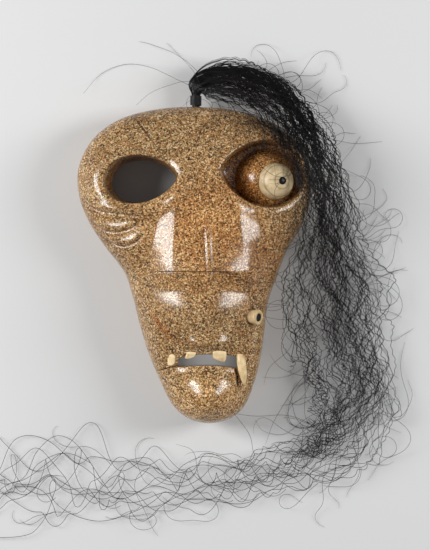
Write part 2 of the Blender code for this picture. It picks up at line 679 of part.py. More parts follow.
for thing in list(bpy.data.objects):
    bpy.data.objects.remove(thing)
pieces = bpy.data.collections.new("stone_mask")
cutters = bpy.data.collections.new("cutters")
for group in (pieces, cutters):
    bpy.context.scene.collection.children.link(group)
stand = bpy.data.objects.new("stand", None)
bpy.context.scene.collection.objects.link(stand)

stone = material("polished_stone", (0.36, 0.23, 0.13), 0.22)
ivory = material("ivory", (0.75, 0.60, 0.38), 0.35)
baleen = material("baleen", (0.012, 0.011, 0.012), 0.20)
cord_black = material("black_cord", (0.015, 0.015, 0.017), 0.60)
hair_black = material("black_horsehair", (0.018, 0.018, 0.022), 0.45)

mask = mask_body()
cut(mask, below_rim(), "flat_rim")
cut(mask, hollow(), "hollow_back")
cut(mask, open_eye_cutter(), "open_eye")
cut(mask, deep_eye_cutter(), "deep_eye")
cut(mask, mouth_cutter(), "mouth")
for fold_name, fold_line in zip(("upper_fold", "middle_fold", "lower_fold"), FOLDS):
    cut(mask, fold_cutter(fold_name + "_cutter", fold_line), fold_name)
cut(mask, line_cutter("left_line_cutter", (-0.066, -0.311), MOUTH_ENDS[0], LINE_CUT, 0.004), "left_line")
cut(mask, line_cutter("right_line_cutter", MOUTH_ENDS[1], MOUTH_ENDS[2], LINE_CUT, 0.005), "right_line")
teeth()
ivory_eye()
cheek_peg()
tuft_root = tuft_foot()
tuft_seat(tuft_root)
binding(tuft_root)
tuft(tuft_root)
centre_on_box()
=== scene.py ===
"""A carved and polished stone mask with ivory inlays and a long tuft of black horsehair.

It lies on its open back. All is in metres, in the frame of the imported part: +Z is up out of the face
and +Y is towards the forehead.
"""
import math

import bmesh
import bpy
import numpy as np
from mathutils import Matrix, Vector


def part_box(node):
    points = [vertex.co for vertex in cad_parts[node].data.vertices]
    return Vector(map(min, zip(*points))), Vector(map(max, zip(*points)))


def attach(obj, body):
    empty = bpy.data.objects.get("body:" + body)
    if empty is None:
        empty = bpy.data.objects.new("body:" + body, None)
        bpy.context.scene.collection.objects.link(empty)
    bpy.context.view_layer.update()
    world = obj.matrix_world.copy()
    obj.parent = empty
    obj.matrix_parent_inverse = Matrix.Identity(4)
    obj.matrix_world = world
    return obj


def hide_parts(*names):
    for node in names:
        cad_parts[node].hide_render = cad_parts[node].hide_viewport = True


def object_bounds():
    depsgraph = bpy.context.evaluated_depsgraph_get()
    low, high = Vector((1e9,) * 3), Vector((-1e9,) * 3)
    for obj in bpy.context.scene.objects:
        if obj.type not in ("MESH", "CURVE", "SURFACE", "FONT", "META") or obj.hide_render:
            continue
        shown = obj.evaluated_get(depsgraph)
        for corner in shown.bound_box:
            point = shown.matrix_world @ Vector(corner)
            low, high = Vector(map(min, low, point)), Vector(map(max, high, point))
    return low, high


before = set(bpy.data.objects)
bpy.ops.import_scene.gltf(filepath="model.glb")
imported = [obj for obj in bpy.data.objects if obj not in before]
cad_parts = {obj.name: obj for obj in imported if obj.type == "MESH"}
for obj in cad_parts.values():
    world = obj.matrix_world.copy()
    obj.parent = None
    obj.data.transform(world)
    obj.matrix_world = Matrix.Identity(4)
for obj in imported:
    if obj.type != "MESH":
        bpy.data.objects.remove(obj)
solids_box = [list(corner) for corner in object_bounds()]
bpy.ops.object.select_all(action="DESELECT")


# The stone mask. It is one piece of speckled brown stone, carved hollow from the back and polished.
# It is drawn out of a fine ball and its carving is raised on it. Eye, socket and mouth are cut out last.
MASK_WIDTH, MASK_HEIGHT = 0.187, 0.250
FACE_DEPTH, SIDE_HEIGHT, RIM_TUCK = 0.062, 0.026, 0.005
RIM_EASE, RIM_EASE_HEIGHT = 0.0009, 0.0016
WALL, CAVITY_DEPTH, CAVITY_SIDE, BELOW_RIM = 0.014, 0.038, 0.008, -0.004
DOME_POWER, WALL_ANGLE = 2.4, math.radians(20)
OUTLINE = (
    (-0.003, 0.500), (0.153, 0.491), (0.280, 0.465), (0.382, 0.424), (0.458, 0.364), (0.496, 0.285),
    (0.487, 0.199), (0.445, 0.120), (0.386, 0.047), (0.344, -0.035), (0.305, -0.120), (0.291, -0.206),
    (0.276, -0.285), (0.251, -0.364), (0.208, -0.443), (0.141, -0.487), (0.052, -0.500), (-0.033, -0.484),
    (-0.100, -0.440), (-0.151, -0.364), (-0.198, -0.282), (-0.236, -0.190), (-0.265, -0.104),
    (-0.303, -0.022), (-0.379, 0.054), (-0.447, 0.130), (-0.489, 0.206), (-0.500, 0.285), (-0.473, 0.354),
    (-0.409, 0.418), (-0.299, 0.468), (-0.151, 0.494),
)


def smooth(value, low, high):
    """0 below low, 1 above high and an even curve between."""
    t = np.clip((value - low) / (high - low), 0, 1)
    return t * t * (3 - 2 * t)


def curve_through(points, steps, closed=False):
    """Points along a smooth curve that passes through every given point."""
    p = np.asarray(points, float)
    ends = (p[-1:], p[:2]) if closed else (2 * p[:1] - p[1:2], 2 * p[-1:] - p[-2:-1])
    p = np.vstack([ends[0], p, ends[1]])
    t = (np.arange(steps) / steps)[:, None]
    spans = [0.5 * (2 * b + (c - a) * t + (2 * a - 5 * b + 4 * c - d) * t**2
                    + (3 * b - a - 3 * c + d) * t**3)
             for a, b, c, d in zip(p, p[1:], p[2:], p[3:])]
    if not closed:
        spans.append(p[-2:-1])
    return np.vstack(spans)


outline = curve_through([(u * MASK_WIDTH, v * MASK_HEIGHT) for u, v in OUTLINE], 12, closed=True)
mask_low, mask_high = (np.array(corner)[:2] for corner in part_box("mask"))
MIDDLE = (mask_low + mask_high) / 2 - (outline.min(axis=0) + outline.max(axis=0)) / 2
outline += MIDDLE


def at(u, v):
    """A place on the mask from its shares of the width and height."""
    return MIDDLE + (u * MASK_WIDTH, v * MASK_HEIGHT)


DOME_CENTRE = at(0.012, 0.040)
away = outline - DOME_CENTRE
outline_angles, outline_reach = np.arctan2(away[:, 1], away[:, 0]), np.hypot(*away.T)
turn_order = np.argsort(outline_angles)


def outline_radius(theta):
    """Distance from the dome's centre to the outline, along a direction."""
    return np.interp(theta, outline_angles[turn_order], outline_reach[turn_order], period=2 * math.pi)


def almond(middle, half_length, half_height, tilt, inner, points=96):
    """An eye's edge: round at its outer end, pointed at its inner one, which is at +1 or -1 along x."""
    a = np.arange(points) * 2 * math.pi / points
    height = np.sin(a) * np.sin(a / 2) ** 0.35
    x = inner * half_length * MASK_WIDTH * np.cos(a)
    y = half_height * MASK_HEIGHT * height / np.abs(height).max()
    c, s = math.cos(tilt), math.sin(tilt)
    edge = np.column_stack([c * x - s * y, s * x + c * y]) + at(*middle)
    return edge if inner > 0 else edge[::-1]


OPEN_EYE_TILT, DEEP_EYE_TILT = math.radians(5), math.radians(-4)
OPEN_EYE = almond((-0.230, 0.269), 0.157, 0.0755, OPEN_EYE_TILT, 1)
DEEP_EYE = almond((0.2825, 0.287), 0.182, 0.107, DEEP_EYE_TILT, -1)


def distance_to(edge, x, y):
    """Signed distance to a closed edge, below 0 inside it."""
    best, inside = np.full(x.shape, 1e9), np.zeros(x.shape, bool)
    for (ax, ay), (bx, by) in zip(edge[::2], np.roll(edge[::2], -1, axis=0)):
        dx, dy = bx - ax, by - ay
        t = np.clip(((x - ax) * dx + (y - ay) * dy) / (dx * dx + dy * dy), 0, 1)
        best = np.minimum(best, np.hypot(x - ax - t * dx, y - ay - t * dy))
        inside ^= ((ay > y) != (by > y)) & (x < dx * (y - ay) / (dy + 1e-12) + ax)
    return np.where(inside, -best, best)


def mound(x, y, middle, half_width, half_height, height):
    """A low round rise on the face."""
    mx, my = at(*middle)
    return height * np.exp(-(((x - mx) / half_width) ** 2 + ((y - my) / half_height) ** 2))


def ridge(value, middle, half_width):
    """A smooth rise to 1 where a value is at its middle."""
    return np.exp(-(((value - middle) / half_width) ** 2))


MOUTH_MIDDLE, MOUTH_HALF_LENGTH = at(0.052, -0.297), 0.0237
MOUTH_HALF_OPENING, MOUTH_ARCH = 0.0044, 0.0025
# Each lip: its height, and its middle and half width above or below the mouth's line
UPPER_LIP, UPPER_LIP_MIDDLE, UPPER_LIP_HALF = 0.0050, 0.0132, 0.0060
LOWER_LIP, LOWER_LIP_MIDDLE, LOWER_LIP_HALF = 0.0015, -0.0085, 0.0040
UPPER_LIP_REACH = 0.0165
# Each eye's lid: its height, and its middle and half width outside the eye's edge
LID, LID_MIDDLE, LID_HALF = 0.003, 0.006, 0.007
DEEP_LID, DEEP_LID_MIDDLE, DEEP_LID_HALF = 0.0018, 0.004, 0.006
MUZZLE = ((0.018, -0.140), 0.034, 0.026, 0.010)
CHIN = ((0.055, -0.440), 0.022, 0.022, 0.016)
NOSE_TOP, NOSE_BASE, NOSE_RISE = at(0.035, 0.400), at(0.060, -0.019), 0.012
# The half width of the nose and the width of each flank: at its top, and how much they gain by its base
NOSE_HALF, NOSE_HALF_GAIN, NOSE_FLANK, NOSE_FLANK_GAIN = 0.0180, 0.0120, 0.0045, 0.0145
FRONT_FALL, NOSE_RIB, NOSE_RIB_HALF = 0.28, 0.0011, 0.0020
NOSE_UNDERCUT, SOFT_UNDERCUT, SOFT_FROM = 0.0007, 0.016, 0.008
# Below the nose's cut base the surface starts at a share of the nose's height and runs out in a length
SHELF_SHARE, SHELF_LENGTH = 0.62, 0.018
# Each fold's pouch and groove: how high or deep, and the middle and half width above the fold's line
POUCH, POUCH_MIDDLE, POUCH_HALF = 0.0012, 0.0028, 0.0030
GROOVE, GROOVE_MIDDLE, GROOVE_HALF = 0.0011, -0.0004, 0.0009
FOLDS = (
    ((-0.489, 0.218), (-0.445, 0.189), (-0.393, 0.170), (-0.299, 0.160), (-0.219, 0.153), (-0.185, 0.153)),
    ((-0.456, 0.149), (-0.393, 0.114), (-0.329, 0.106), (-0.270, 0.117), (-0.223, 0.136)),
    ((-0.409, 0.095), (-0.347, 0.070), (-0.303, 0.060), (-0.257, 0.070), (-0.206, 0.101)),
)


def mouth_line(x):
    """The arched middle line of the mouth, and how far along it each point is, 1 at its ends."""
    s = (x - MOUTH_MIDDLE[0]) / MOUTH_HALF_LENGTH
    return MOUTH_MIDDLE[1] - MOUTH_ARCH * s**2, s


def nose(x, y):
    """A wedge with a fine rib down its ridge, two fronts, steep flanks and a cut base."""
    t = np.clip((NOSE_TOP[1] - y) / (NOSE_TOP[1] - NOSE_BASE[1]), 0, 1)
    half, flank = NOSE_HALF + NOSE_HALF_GAIN * t, NOSE_FLANK + NOSE_FLANK_GAIN * t
    across = x - NOSE_TOP[0] - (NOSE_BASE[0] - NOSE_TOP[0]) * t
    s = np.abs(across) / half
    off = (s - 1) * half
    # The two fronts fall off a little from the rib, the flanks run down to the face
    front = 1 - FRONT_FALL * np.clip((s - 0.05) / 0.95, 0, 1)
    side = 1 - 0.7 * np.clip(off / flank, 0, 1) - 0.3 * smooth(off, -0.1 * flank, flank)
    # The base is a sharp step that softens towards its right end
    undercut = NOSE_UNDERCUT + SOFT_UNDERCUT * smooth(across, SOFT_FROM, 0.030)
    base = np.clip((y - NOSE_BASE[1]) / undercut + 1, 0, 1)
    rib = NOSE_RIB * smooth(t, 0.52, 0.8) * np.exp(-((np.abs(across) / NOSE_RIB_HALF) ** 4))
    cut = np.where(across < SOFT_FROM, base, base**2 * (3 - 2 * base))
    return (NOSE_RISE * t**0.95 * front * side + rib) * cut


def fold(x, y, line):
    """A pouch of skin that hangs over the groove below it."""
    points = curve_through([at(*place) for place in line], 8)
    above = y - np.interp(x, points[:, 0], points[:, 1])
    first, last = points[0, 0], points[-1, 0]
    fade = smooth(x, first - 0.004, first + 0.004) * (1 - smooth(x, last - 0.012, last + 0.001))
    pouch = POUCH * ridge(above, POUCH_MIDDLE, POUCH_HALF) * smooth(above, -GROOVE_HALF, 0.0006)
    return fade * (pouch - GROOVE * ridge(above, GROOVE_MIDDLE, GROOVE_HALF))


def shelf(x, y):
    """What fills in below the nose, so that its cut base is a low step."""
    below = NOSE_BASE[1] - y
    cut = nose(x, np.full_like(y, NOSE_BASE[1] + 0.0015))
    return np.where(below > 0, SHELF_SHARE * cut * (1 - smooth(below, 0, SHELF_LENGTH)), 0)


def carving(x, y):
    """How far the carved surface stands off the plain dome."""
    line, s = mouth_line(x)
    above = y - line
    upper_lip = UPPER_LIP * np.exp(-(((x - MOUTH_MIDDLE[0]) / UPPER_LIP_REACH) ** 4))
    upper_lip *= ridge(above, UPPER_LIP_MIDDLE, UPPER_LIP_HALF)
    lower_lip = LOWER_LIP * (1 - smooth(np.abs(s), 0.9, 1.35))
    lower_lip *= ridge(above, LOWER_LIP_MIDDLE, LOWER_LIP_HALF)
    lid, deep_lid = (distance_to(edge, x, y) for edge in (OPEN_EYE, DEEP_EYE))
    relief = np.maximum(nose(x, y), shelf(x, y)) + upper_lip + lower_lip
    relief += mound(x, y, *MUZZLE) + mound(x, y, *CHIN)
    relief += (LID * ridge(lid, LID_MIDDLE, LID_HALF)
               + DEEP_LID * ridge(deep_lid, DEEP_LID_MIDDLE, DEEP_LID_HALF))
    for line in FOLDS:
        relief += fold(x, y, line)
    return relief


def points_of(mesh):
    """The places of a mesh's points, a row for each."""
    places = np.empty(len(mesh.vertices) * 3)
    mesh.vertices.foreach_get("co", places)
    return places.reshape(-1, 3)


def place_points(mesh, places):
    """Moves a mesh's points to new places."""
    mesh.vertices.foreach_set("co", np.ascontiguousarray(places, float).ravel())
    mesh.update()


def edit(operation, **values):
    """One edit-mode operation on all of the active object."""
    bpy.ops.object.mode_set(mode="EDIT")
    bpy.ops.mesh.select_all(action="SELECT")
    operation(**values)
    bpy.ops.object.mode_set(mode="OBJECT")


def shaped_dome(name, subdivisions, inset, side, crown, tuck, foot):
    """A ball, cut off below, drawn out to the outline: a dome on a side wall that tucks in to its foot."""
    bpy.ops.object.select_all(action="DESELECT")
    bpy.ops.mesh.primitive_ico_sphere_add(subdivisions=subdivisions, radius=1)
    made = bpy.context.active_object
    made.name = made.data.name = name
    edit(bpy.ops.mesh.bisect, plane_co=(0, 0, -math.sin(WALL_ANGLE)), plane_no=(0, 0, 1), clear_inner=True)
    ball = points_of(made.data)
    angle, theta = np.arccos(np.clip(ball[:, 2], -1, 1)), np.arctan2(ball[:, 1], ball[:, 0])
    above, down = np.clip(angle, 0, math.pi / 2), np.clip((angle - math.pi / 2) / WALL_ANGLE, 0, 1)
    out = np.sin(above) ** (2 / DOME_POWER) * (outline_radius(theta) - inset) - tuck * down**1.5
    rise = np.maximum(np.cos(above), 0) ** (2 / DOME_POWER)
    height = np.where(down > 0, side + (foot - side) * down, side + (crown - side) * rise)
    if tuck:
        out -= RIM_EASE * np.clip(1 - (height - foot) / RIM_EASE_HEIGHT, 0, 1) ** 2
    place_points(made.data, np.column_stack([DOME_CENTRE[0] + out * np.cos(theta),
                                             DOME_CENTRE[1] + out * np.sin(theta), height]))
    return made


def close_foot(made):
    """Fills the open foot of a dome with one flat face."""
    bpy.context.view_layer.objects.active = made
    bpy.ops.object.mode_set(mode="EDIT")
    bpy.ops.mesh.select_all(action="DESELECT")
    bpy.ops.mesh.select_non_manifold(extend=False)
    bpy.ops.mesh.edge_face_add()
    bpy.ops.mesh.select_all(action="SELECT")
    bpy.ops.mesh.normals_make_consistent(inside=False)
    bpy.ops.object.mode_set(mode="OBJECT")


def apply_modifier(made, kind, **values):
    """Adds one modifier to a piece and applies it."""
    bpy.context.view_layer.objects.active = made
    modifier = made.modifiers.new(kind.lower(), kind)
    modifier.show_viewport = False
    for name, value in values.items():
        setattr(modifier, name, value)
    bpy.ops.object.modifier_apply(modifier=modifier.name)


mask = shaped_dome("stone_face", 8, 0, SIDE_HEIGHT, FACE_DEPTH, RIM_TUCK, 0)
for step in (0, -NOSE_UNDERCUT):
    edit(bpy.ops.mesh.bisect, plane_co=(0, NOSE_BASE[1] + step, 0), plane_no=(0, 1, 0))
skin = points_of(mask.data)
facing_up = np.empty(len(skin) * 3)
mask.data.vertices.foreach_get("normal", facing_up)
facing_up = np.clip(facing_up.reshape(-1, 3)[:, 2], 0, 1)
skin[:, 2] += carving(skin[:, 0], skin[:, 1]) * facing_up**0.5
place_points(mask.data, skin)
apply_modifier(mask, "DECIMATE", ratio=0.56)
close_foot(mask)


def skin_height(places):
    """The height of the mask's skin above each place, read from the piece itself."""
    heights = []
    for x, y in places:
        found, point, _, _ = mask.ray_cast(Vector((x, y, 0.2)), Vector((0, 0, -1)))
        heights.append(point.z if found else 0.0)
    return np.array(heights)


def loft(name, sections):
    """A closed body through sections that have the same number of points."""
    sections = np.asarray(sections, float)
    rings, count = sections.shape[:2]
    i = np.arange(count)
    after = (i + 1) % count
    faces = [np.column_stack([first + i, first + after, first + count + after, first + count + i])
             for first in range(0, (rings - 1) * count, count)]
    mesh = bpy.data.meshes.new(name)
    mesh.from_pydata(sections.reshape(-1, 3).tolist(), [],
                     [*np.vstack(faces).tolist(), i[::-1].tolist(), ((rings - 1) * count + i).tolist()])
    made = bpy.data.objects.new(name, mesh)
    bpy.context.scene.collection.objects.link(made)
    bm = bmesh.new()
    bm.from_mesh(mesh)
    bmesh.ops.recalc_face_normals(bm, faces=bm.faces)
    bm.to_mesh(mesh)
    bm.free()
    return made


def grown(edge, distance):
    """An edge moved outwards by a distance."""
    ways = np.roll(edge, -1, axis=0) - np.roll(edge, 1, axis=0)
    ways /= np.linalg.norm(ways, axis=1)[:, None]
    return edge + np.column_stack([ways[:, 1], -ways[:, 0]]) * distance


RING_GAP, CUTTER_TOP = 0.0012, 0.1


def opening_cutter(name, edge, below, lip):
    """A cutter with a rounded lip at the skin; below gives each lower ring's height, size and shift."""
    middle = edge.mean(axis=0)
    top = skin_height(edge) - lip
    rings = []
    for i, (height, size, shift) in enumerate(below):
        # Where the skin is low, a ring stays under it
        kept_low = np.minimum(height, top - RING_GAP * (len(below) - i))
        rings.append(np.column_stack([middle + (edge - middle) * size + np.array(shift), kept_low]))
    for share in (0, 0.25, 0.5, 0.75, 1):
        turn = share * math.pi / 2
        ring = grown(edge, lip * (1 - math.cos(turn)))
        rings.append(np.column_stack([ring, skin_height(ring) - lip * (1 - math.sin(turn))]))
    # Above the skin it flares a little and goes straight up
    last = grown(edge, lip * 1.3)
    rings.append(np.column_stack([last, skin_height(last) + lip * 0.2]))
    rings.append(np.column_stack([last, np.full(len(edge), CUTTER_TOP)]))
    return loft(name, rings)


NO_SHIFT = (0, 0)
open_eye_cutter = opening_cutter("open_eye_cutter", OPEN_EYE, (
    (-0.003, 0.84, (0.0022, -0.0008)), (0.024, 0.84, (0.0022, -0.0008)), (0.034, 0.885, (0.0014, -0.0006)),
    (0.0415, 0.955, (0.0005, -0.0002))), lip=0.0010)
deep_eye_cutter = opening_cutter("deep_eye_cutter", DEEP_EYE, (
    (0.0360, 0.86, NO_SHIFT), (0.0368, 0.90, NO_SHIFT), (0.0400, 0.935, NO_SHIFT),
    (0.0450, 0.965, NO_SHIFT)), lip=0.0009)
STONE_EYE, STONE_EYE_RADIUS, STONE_EYE_TOP = at(0.295, 0.270), 0.027, 0.051
bpy.ops.object.select_all(action="DESELECT")
bpy.ops.mesh.primitive_ico_sphere_add(subdivisions=6, radius=STONE_EYE_RADIUS,
                                      location=(*STONE_EYE, STONE_EYE_TOP - STONE_EYE_RADIUS))
eyeball = bpy.context.active_object
apply_modifier(deep_eye_cutter, "BOOLEAN", operation="DIFFERENCE", object=eyeball)
bpy.data.objects.remove(eyeball)

# The slot closes a little to its left end and opens a little to its right one
mouth_x = MOUTH_MIDDLE[0] + MOUTH_HALF_LENGTH * np.cos(np.linspace(math.pi, 0, 33))
mouth_y, share = mouth_line(mouth_x)
half_open = MOUTH_HALF_OPENING * (1 - 0.30 * np.clip(-share, 0, 1) ** 3 + 0.1 * np.clip(share, 0, 1) ** 3)
lower_edge, upper_edge = (np.column_stack([mouth_x, mouth_y + side * half_open]) for side in (-1, 1))
mouth_cutter = opening_cutter("mouth_cutter", np.vstack([lower_edge, upper_edge[::-1]]),
                              ((-0.003, 1, NO_SHIFT), (0.040, 1, NO_SHIFT)), lip=0.0007)


def line_cutter(name, line, widths, depth):
    """A carved line that follows places on the skin, V-shaped and narrowing to its end."""
    points = curve_through([at(*place) for place in line], 6)
    ways = np.gradient(points, axis=0)
    ways /= np.linalg.norm(ways, axis=1)[:, None]
    top = skin_height(points)
    sections = []
    for i, (point, way, height) in enumerate(zip(points, ways, top)):
        t = i / (len(points) - 1)
        half = (widths[0] + (widths[1] - widths[0]) * t) / 2
        deep = depth * (1 - 0.6 * t)
        across = np.array([-way[1], way[0], 0]) * half
        middle = np.array([*point, height])
        # From the bottom up one side of the V, over the top and down the other side
        sections.append([middle + across * out + (0, 0, up) for out, up in (
            (0, -deep), (0.6, -deep * 0.5), (1, 0), (1.5, 0.004),
            (-1.5, 0.004), (-1, 0), (-0.6, -deep * 0.5))])
    return loft(name, sections)


left_line_cutter = line_cutter("left_line", ((-0.064, -0.314), (-0.110, -0.322), (-0.160, -0.333)),
                               widths=(0.0022, 0.0008), depth=0.0035)
right_line_cutter = line_cutter("right_line", ((0.163, -0.308), (0.174, -0.345), (0.177, -0.379)),
                                widths=(0.0040, 0.0010), depth=0.0060)
hollow_cutter = shaped_dome("hollow_cutter", 6, WALL, CAVITY_SIDE, CAVITY_DEPTH, 0, BELOW_RIM)
close_foot(hollow_cutter)
cutters = [hollow_cutter, open_eye_cutter, deep_eye_cutter, mouth_cutter,
           left_line_cutter, right_line_cutter]


def shade(made, angle=35):
    """Smooth shading, with sharp edges only where faces meet at more than the angle."""
    bpy.ops.object.select_all(action="DESELECT")
    made.select_set(True)
    bpy.context.view_layer.objects.active = made
    bpy.ops.object.shade_smooth_by_angle(angle=math.radians(angle))


def new_finish(name):
    """A material with its shader, and ways to add nodes to it: inputs are values or other nodes' outputs."""
    finish = bpy.data.materials.new(name)
    finish.use_nodes = True
    tree = finish.node_tree

    def node(kind, inputs=(), **settings):
        made = tree.nodes.new("ShaderNode" + kind)
        for setting, value in settings.items():
            setattr(made, setting, value)
        connect(made, inputs)
        return made

    def connect(made, inputs):
        for socket, value in dict(inputs).items():
            if isinstance(value, bpy.types.NodeSocket):
                tree.links.new(value, made.inputs[socket])
            else:
                made.inputs[socket].default_value = value

    def ramp(factor, stops):
        made = node("ValToRGB", {0: factor})
        elements = made.color_ramp.elements
        while len(elements) < len(stops):
            elements.new(0.5)
        for element, (position, colour) in zip(elements, stops):
            element.position = position
            element.color = (*colour, 1)
        return made.outputs[0]

    return finish, tree.nodes["Principled BSDF"], node, connect, ramp


def give(made, finish):
    """Gives a piece its one material."""
    made.data.materials.clear()
    made.data.materials.append(finish)


def polished_stone():
    """Speckled brown stone, its grains under 1 mm across: nearly black, rust, brown, tan and a few pale, with
    painted shade and painted highlights in places.
    """
    finish, shader, node, connect, ramp = new_finish("polished_stone")
    place = node("TexCoord").outputs["Object"]
    drift = node("TexNoise", {"Vector": place, "Scale": 500, "Detail": 2})
    bent = node("VectorMath", {0: drift.outputs["Color"], 1: (0.0006,) * 3}, operation="MULTIPLY")
    grain_place = node("VectorMath", {0: place, 1: bent.outputs[0]}, operation="ADD").outputs[0]
    grains = node("TexVoronoi", {"Vector": grain_place, "Scale": 1250, "Randomness": 1})
    clusters = node("TexNoise", {"Vector": place, "Scale": 620, "Detail": 2, "Roughness": 0.6})
    cloud = node("TexNoise", {"Vector": place, "Scale": 45, "Detail": 4, "Roughness": 0.6})
    grain = node("SeparateColor", {0: grains.outputs["Color"]})
    tone = node("Math", {0: clusters.outputs[0], 1: 0.35, 2: grain.outputs[0]}, operation="MULTIPLY_ADD")
    tone = node("Math", {0: cloud.outputs[0], 1: 0.5, 2: tone.outputs[0]}, operation="MULTIPLY_ADD")
    tone = node("Math", {0: tone.outputs[0], 1: 0.425}, operation="SUBTRACT").outputs[0]
    colour = ramp(tone, (
        (0.08, (0.030, 0.015, 0.006)), (0.20, (0.125, 0.062, 0.023)), (0.42, (0.275, 0.150, 0.054)),
        (0.62, (0.385, 0.224, 0.087)), (0.80, (0.500, 0.322, 0.140)), (0.95, (0.720, 0.560, 0.330))))

    def tinted(colour, factor, strength, tint):
        share = node("Math", {0: factor, 1: strength}, operation="MULTIPLY").outputs[0]
        made = node("Mix", {0: share, 6: colour, 7: (*tint, 1)}, data_type="RGBA", blend_type="MULTIPLY")
        return made.outputs[2]

    def within(source, low, high):
        """1 where a value is at most low, 0 from high on."""
        eased = node("MapRange", {0: source, 1: high, 2: low, 3: 0, 4: 1}, interpolation_type="SMOOTHSTEP")
        return eased.outputs[0]

    def distance(vector, centre, turn, size):
        """Distance from a turned and stretched centre, 1 on its ellipsoid."""
        own = node("Mapping", {"Vector": vector, "Location": centre, "Rotation": (0, 0, turn), "Scale": size},
                   vector_type="TEXTURE")
        return node("VectorMath", {0: own.outputs[0]}, operation="LENGTH").outputs[1]

    def inside_eye(edge, turn, size, low):
        """1 well inside an eye, 0 just outside its edge."""
        return within(distance(place, (*edge.mean(axis=0), 0.03), turn, size), low, 1.02)

    rust = node("MapRange", {0: grain.outputs[1], 1: 0.84, 2: 0.88}).outputs[0]
    colour = tinted(colour, rust, 0.7, (1.10, 0.60, 0.38))
    for spot, reach, strength, tint in STONE_TONES_AND_PAINTED_LIGHT:
        near = within(distance(place, (*at(*spot), 0.05), 0, (reach,) * 3), 0, 1)
        colour = tinted(colour, near, strength, tint)
    for start, end, width, strength, tint in STREAKS_AND_PAINTED_LIGHT:
        (ax, ay), (bx, by) = at(*start), at(*end)
        length = distance(grain_place, ((ax + bx) / 2, (ay + by) / 2, 0.04), math.atan2(by - ay, bx - ax),
                          (math.hypot(bx - ax, by - ay) / 2, width, 0.06))
        colour = tinted(colour, within(length, 0.35, 1.15), strength, tint)
    # Inside the open eye's hole the stone is darkened as painted shade
    open_eye_shade = inside_eye(OPEN_EYE, OPEN_EYE_TILT, (0.0305, 0.0200, 0.040), 0.90)
    colour = tinted(colour, open_eye_shade, 0.8, (0.55, 0.38, 0.24))
    # The socket is tinted redder, its own colour, and lightened a little as painted light against the hair's
    # shadow
    in_socket = inside_eye(DEEP_EYE, DEEP_EYE_TILT, (0.0350, 0.0275, 0.034), 0.86)
    colour = tinted(colour, in_socket, 0.8, (1.15, 0.88, 0.56))
    # The cleft round the stone eyeball is darkened with depth: painted shade
    deep = within(node("SeparateXYZ", {0: place}).outputs[2], *CLEFT_SHADE_LEVELS)
    deep = node("Math", {0: deep, 1: in_socket}, operation="MULTIPLY").outputs[0]
    colour = tinted(colour, deep, 0.8, (0.26, 0.21, 0.17))
    connect(shader, {"Base Color": colour, "IOR": 1.52})
    roughness = node("MapRange", {0: tone, 1: 0, 2: 1, 3: 0.28, 4: 0.09})
    pits = node("Bump", {"Height": tone, "Strength": 0.25, "Distance": 0.0001})
    connect(shader, {"Roughness": roughness.outputs[0], "Normal": pits.outputs[0]})
    return finish


# The cleft round the stone eyeball gets painted shade below the first level, and none from the second up
CLEFT_SHADE_LEVELS = (0.0400, 0.0485)
DARK_BROWN, RUST, PAINTED_HIGHLIGHT = (0.28, 0.20, 0.15), (0.85, 0.48, 0.30), (1.5, 1.5, 1.5)
# Each patch: where, how wide, how strong and its tint. The grey one at the top of the forehead is painted
# shade, the pale one on the chin painted light.
STONE_TONES_AND_PAINTED_LIGHT = (
    ((0.05, 0.10), 0.075, 0.9, (1.24, 0.96, 0.68)), ((0.34, 0.42), 0.070, 0.3, (0.85, 0.70, 0.58)),
    ((-0.15, 0.50), 0.075, 0.6, (0.72, 0.72, 0.70)), ((-0.40, 0.10), 0.050, 0.5, (0.88, 0.82, 0.72)),
    ((0.05, -0.46), 0.050, 0.9, (1.50, 1.45, 1.36)), ((-0.17, -0.36), 0.030, 0.6, (1.05, 1.08, 1.10)),
    ((0.27, 0.00), 0.048, 0.8, (0.76, 0.62, 0.48)), ((0.06, -0.085), 0.028, 0.8, (0.84, 0.70, 0.56)),
    ((-0.28, 0.02), 0.034, 0.7, (0.98, 0.98, 1.00)), ((0.20, -0.25), 0.026, 0.6, (0.84, 0.76, 0.66)),
)
# Each streak: its two ends, width, strength and tint. The pale ones are painted highlights, and those along
# the folds painted shade in their grooves.
STREAKS_AND_PAINTED_LIGHT = (
    ((-0.262, 0.470), (-0.160, 0.369), 0.0012, 0.9, DARK_BROWN),
    ((-0.215, -0.127), (-0.067, -0.253), 0.0040, 0.6, RUST),
    ((-0.146, -0.349), (-0.110, -0.371), 0.0009, 0.9, DARK_BROWN),
    ((-0.115, -0.368), (-0.069, -0.383), 0.0009, 0.9, DARK_BROWN),
    ((-0.073, -0.381), (-0.031, -0.401), 0.0008, 0.9, DARK_BROWN),
    ((-0.130, -0.418), (-0.120, -0.422), 0.0014, 0.7, DARK_BROWN),
    # Pale streaks on the forehead and by the socket: painted highlights
    ((0.048, 0.427), (0.057, 0.385), 0.0007, 0.9, PAINTED_HIGHLIGHT),
    ((0.072, 0.345), (0.052, 0.310), 0.0007, 0.8, PAINTED_HIGHLIGHT),
    ((0.125, 0.400), (0.146, 0.358), 0.0009, 0.9, PAINTED_HIGHLIGHT),
    # Thin dark lines along the folds' grooves: painted shade
    *((start, end, 0.0006, 0.6, DARK_BROWN) for line in FOLDS for start, end in zip(line, line[1:])),
)
give(mask, polished_stone())
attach(mask, "root")
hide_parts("mask")


